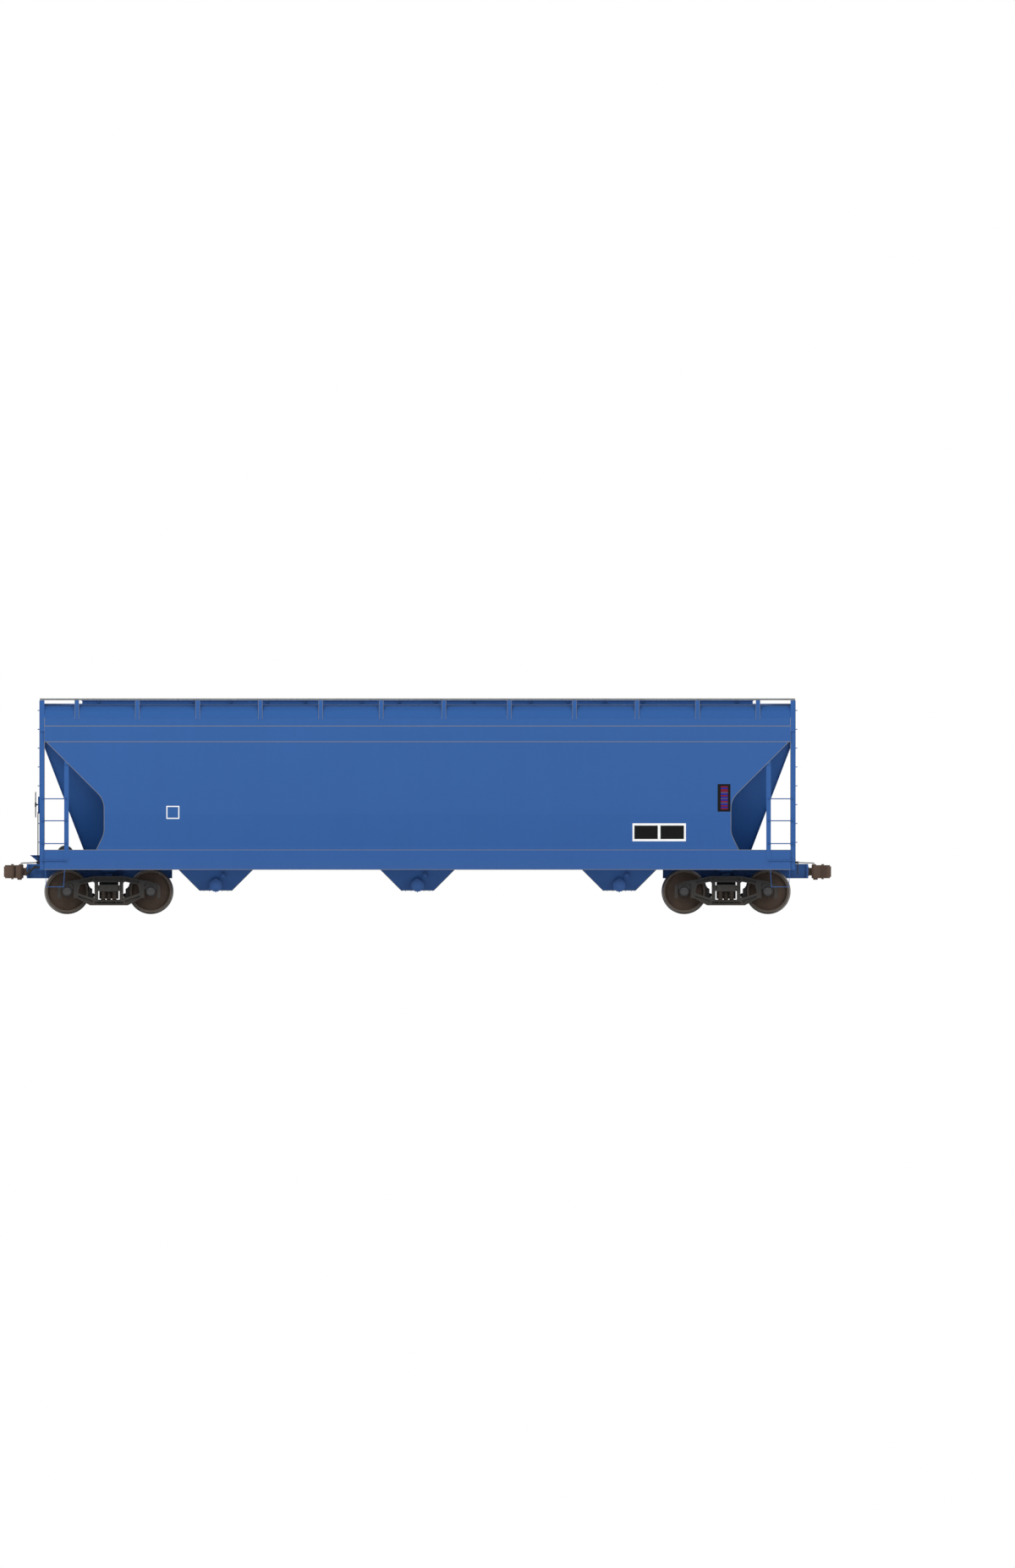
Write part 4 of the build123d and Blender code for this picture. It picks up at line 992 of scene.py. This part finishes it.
def addEndFittings(name, end):
    look = endLook
    side = -end
    out = (end, 0, 0)
    shape = Shape()
    stops = raised([(end * x, side * y, height) for x, y, height in look["lever"]])
    shape.tube(stops, look["bar"], look["bend"])
    boltX, boltY, boltHeight, bolt = look["padBolts"]
    for y in look["brackets"]:
        for part in ("pad", "eye"):
            corners = [(end * (postX + dx), side * y + dy, height) for dx, dy, height in look[part]]
            shape.block(*raised(corners), 0.003)
        for dy in (-boltY, boltY):
            shape.bolt((end * (postX + boltX), side * y + dy, up(boltHeight)), out, bolt)
    x, y, heights, bolt = look["striker"]
    for boltY in (-y, y):
        for height in heights:
            shape.bolt((end * x, boltY, up(height)), out, bolt)
    pitch, count, height, bolt = look["sillBolts"]
    for i in range(-count, count + 1):
        if abs(i) > 1:
            shape.bolt((end * (postX - 0.001), i * pitch, up(height)), out, bolt)
    newPiece("endFittings_" + name, shape, "carbody", [brakeSteel])


couplerLook = {
    "height": 0.876,
    "pin": (8.603, 0.108),
    "pinHead": ((0.146, 0.0), (0.146, 0.034), (0.156, 0.034), (0.162, 0.022), (0.162, 0.0)),
    "pinFoot": ((0.146, 0.0), (0.146, 0.028), (0.160, 0.026), (0.160, 0.0)),
    "lockLift": ((8.375, -0.030, 0.138), (8.465, 0.030, 0.160)),
    "lockFoot": ((8.400, -0.100, -0.172), (8.500, -0.020, -0.138)),
}


def addCouplerTrim(name, end):
    look = couplerLook
    x, y, middle = end * look["pin"][0], end * look["pin"][1], up(look["height"])
    shape = Shape()
    shape.turned((x, y, middle), (0, 0, 1), look["pinHead"], 20)
    shape.turned((x, y, middle), (0, 0, -1), look["pinFoot"], 20)
    for part, soften in (("lockLift", 0.006), ("lockFoot", 0.008)):
        shape.block(*[(end * px, end * py, middle + dz) for px, py, dz in look[part]], soften)
    newPiece("couplerTrim_" + name, shape, "carbody", [couplerSteel])


ladderLook = {
    "rungs": (2.4239, 1.9569, 1.4719, 1.1127),
    "ends": (7.455, 7.955),
    "foot": 1.592, "head": 1.6116,  # half widths over the stiles
    "bolt": 0.009,
}


def addLadderBolts():
    look = ladderLook
    shape = Shape()
    for height in look["rungs"]:
        face = look["foot"] + (look["head"] - look["foot"]) * taper(height)
        for end in ends.values():
            for side in sides:
                for x in look["ends"]:
                    shape.bolt((end * x, side * face, up(height)), (0, side, 0), look["bolt"])
    newPiece("ladderBolts", shape, "carbody", [blue])


for name, end in ends.items():
    addEndFittings(name, end)
    addCouplerTrim(name, end)
addLadderBolts()
print("stage: ends")


# Brake rigging: hand-brake rods and bell crank, cylinder lever, pull rods on hangers, and pipes

rigLook = {
    "rod": 0.013, "pipe": 0.011, "handRod": 0.010, "pin": 0.016,
    "routes": (  # size, bend and stops
        ("handRod", 0.08, ((-8.06, 0.80, 2.14), (-8.06, 0.60, 1.75), (-8.06, 0.60, 1.06))),
        ("rod", 0.06, ((-8.03, 0.60, 0.99), (-7.85, 0.50, 0.98), (-6.95, 0.42, 0.95), (-6.86, 0.40, 0.86))),
        ("rod", 0.10, (
            (-7.22, -0.572, 1.24), (-5.75, -0.572, 1.24), (-5.32, -1.47, 1.0), (-3.0, -1.47, 1.0))),
        ("rod", 0.10, (
            (6.28, -0.572, 1.24), (5.75, -0.572, 1.24), (5.32, -1.47, 1.0), (3.0, -1.47, 1.0))),
        ("rod", 0.05, (
            (-7.80, 0.62, 1.109), (-7.90, 0.74, 1.099), (-7.90, 1.30, 1.099), (-7.68, 1.42, 1.079),
            (-7.68, 1.43, 0.975))),
        ("pipe", 0.04, ((-7.79, 0.69, 1.139), (-7.72, 0.78, 1.259), (-7.64, 0.84, 1.26))),
        ("pipe", 0.05, (
            (-7.83, 0.58, 1.109), (-7.83, 0.30, 1.079), (-7.83, -0.95, 1.079), (-7.70, -0.99, 1.169),
            (-7.60, -0.99, 1.209)))),
    "bars": (
        ("pin", ((-7.74, -0.60, 1.24), (-7.74, -0.545, 1.24))),
        ("pin", ((-7.22, -0.60, 1.24), (-7.22, -0.545, 1.24))),
        ("rod", ((-3.0, -1.47, 1.0), (3.0, -1.47, 1.0)))),
    "blocks": (
        (0.008, ((-8.085, 0.56, 1.03), (-8.018, 0.64, 1.09))),
        (0.006, ((-7.76, -0.585, 1.21), (-7.20, -0.560, 1.27))),
        (0.006, ((6.255, -0.585, 1.02), (6.305, -0.560, 1.28)))),
    "hangers": (-3.2, -1.6, 0.0, 1.6, 3.2),
    "hanger": ((-0.012, -1.556, 0.97), (0.012, -1.476, 1.03)),
    "ring": (-1.47, 1.0, ((-0.014, 0.0132), (-0.014, 0.028), (0.014, 0.028), (0.014, 0.0132))),
}


def addRigging():
    look = rigLook
    shape = Shape()
    for size, bend, stops in look["routes"]:
        shape.tube(raised(stops), look[size], bend)
    for size, stops in look["bars"]:
        shape.bar(*raised(stops), look[size])
    for soften, corners in look["blocks"]:
        shape.block(*raised(corners), soften)
    ringY, ringHeight, ringProfile = look["ring"]
    for x in look["hangers"]:
        shape.block(*raised([(x + dx, y, height) for dx, y, height in look["hanger"]]), 0.003)
        shape.turned((x, ringY, up(ringHeight)), (1, 0, 0), ringProfile, 16)
    newPiece("brakeRigging", shape, "carbody", [brakeSteel])


# Ends and bands of the air reservoir, head and flange of the brake cylinder

tankLook = {
    "x": -7.48,
    "turned": (  # y, way, height, steps and profile
        (0.70, -1, 1.26, 36, ((0.0, 0.169), (0.018, 0.160), (0.034, 0.128), (0.044, 0.075), (0.048, 0.0))),
        (1.30, 1, 1.26, 36, ((0.0, 0.169), (0.018, 0.160), (0.034, 0.128), (0.044, 0.075), (0.048, 0.0))),
        (0.78, 1, 1.26, 40, ((-0.016, 0.1695), (-0.016, 0.175), (0.016, 0.175), (0.016, 0.1695))),
        (1.22, 1, 1.26, 40, ((-0.016, 0.1695), (-0.016, 0.175), (0.016, 0.175), (0.016, 0.1695))),
        (-1.25, -1, 1.24, 36, ((0.0, 0.139), (0.012, 0.130), (0.024, 0.090), (0.028, 0.0))),
        (-0.70, 1, 1.24, 36, (
            (-0.014, 0.1395), (-0.014, 0.156), (0.004, 0.156), (0.004, 0.064), (0.030, 0.050),
            (0.046, 0.028)))),
    "boltY": -0.6965, "boltHeight": 1.24, "boltRing": 0.147, "boltCount": 8, "bolt": 0.008,
}


def addReservoirTrim():
    look = tankLook
    x, ring = look["x"], look["boltRing"]
    shape = Shape()
    for y, way, height, steps, profile in look["turned"]:
        shape.turned((x, y, up(height)), (0, way, 0), profile, steps)
    for i in range(look["boltCount"]):
        turn = math.tau * i / look["boltCount"]
        z = up(look["boltHeight"]) + ring * math.sin(turn)
        shape.bolt((x + ring * math.cos(turn), look["boltY"], z), (0, 1, 0), look["bolt"])
    newPiece("reservoirTrim", shape, "carbody", [brakeSteel])


addRigging()
addReservoirTrim()
print("stage: rigging")


# Camera, laid out on the drawing's pixels: the drawn end view is 181 of them wide

cameraLook = {
    "perPixel": 3.2512 / 181,
    "frameWidth": 1200, "frameHeight": 1854,
    "carColumn": 485.6,
    "outletRow": 1053,  # foot of the drawn outlets
    "outletHeight": 0.475,
    "shift": 8,  # keeps the left coupler in the frame
    "distance": 40,
}


def addCamera():
    look = cameraLook
    step = look["perPixel"]
    data = bpy.data.cameras.new("viewCamera")
    data.type = "ORTHO"
    data.ortho_scale = look["frameHeight"] * step
    data.clip_start = 0.1
    data.clip_end = 200
    camera = bpy.data.objects.new("viewCamera", data)
    x = (look["frameWidth"] / 2 - look["carColumn"] - look["shift"]) * step
    z = up(look["outletHeight"] + (look["outletRow"] - look["frameHeight"] / 2) * step)
    camera.location = (x, -look["distance"], z)
    camera.rotation_euler = (math.radians(90), 0, 0)
    scene.collection.objects.link(camera)
    scene.camera = camera


# Light: a white surround that is brighter to the camera, three lamps and a matt floor

lightLook = {
    "surround": 0.78,
    "behind": 1.0,
    "aim": (0, 0, 2),
    "lamps": {  # place, size and power
        "keyLight": ((-14, -26, 20), (20, 12), 3900),
        "fillLight": ((18, -24, 10), (16, 10), 1500),
        "backLight": ((6, 26, 18), (20, 10), 3000),
    },
}
floorLook = {"radius": 120, "light": (0.86, 0.86, 0.86, 1), "dark": (0.80, 0.80, 0.80, 1), "speckScale": 2.0}


def addWorld():
    world = bpy.data.worlds.new("studioWorld")
    world.use_nodes = True
    scene.world = world
    tree = world.node_tree
    tree.nodes.clear()
    path = tree.nodes.new("ShaderNodeLightPath")
    mix = tree.nodes.new("ShaderNodeMixShader")
    output = tree.nodes.new("ShaderNodeOutputWorld")
    tree.links.new(path.outputs["Is Camera Ray"], mix.inputs[0])
    for socket, strength in ((1, lightLook["surround"]), (2, lightLook["behind"])):
        shader = tree.nodes.new("ShaderNodeBackground")
        shader.inputs["Color"].default_value = (1, 1, 1, 1)
        shader.inputs["Strength"].default_value = strength
        tree.links.new(shader.outputs[0], mix.inputs[socket])
    tree.links.new(mix.outputs[0], output.inputs[0])


def addLamp(name, place, size, power):
    data = bpy.data.lights.new(name, "AREA")
    data.shape = "RECTANGLE"
    data.size, data.size_y = size
    data.energy = power
    lamp = bpy.data.objects.new(name, data)
    lamp.location = place
    aim = Vector(lightLook["aim"]) - Vector(place)
    lamp.rotation_euler = aim.to_track_quat("-Z", "Y").to_euler()
    scene.collection.objects.link(lamp)


def addFloor():
    look = floorLook
    bm = bmesh.new()
    bmesh.ops.create_circle(bm, cap_ends=True, segments=64, radius=look["radius"])
    mesh = bpy.data.meshes.new("studioFloor")
    bm.to_mesh(mesh)
    bm.free()
    floor = bpy.data.objects.new("studioFloor", mesh)
    scene.collection.objects.link(floor)
    paint = Paint("floorMatt")
    speck = paint.noise(look["speckScale"], 3.0)
    mesh.materials.append(paint.close(paint.mix(speck * 0.25, look["light"], look["dark"]), 0.9, 0.1))


addCamera()
addWorld()
for name, settings in lightLook["lamps"].items():
    addLamp(name, *settings)
addFloor()
print("stage: camera and light")
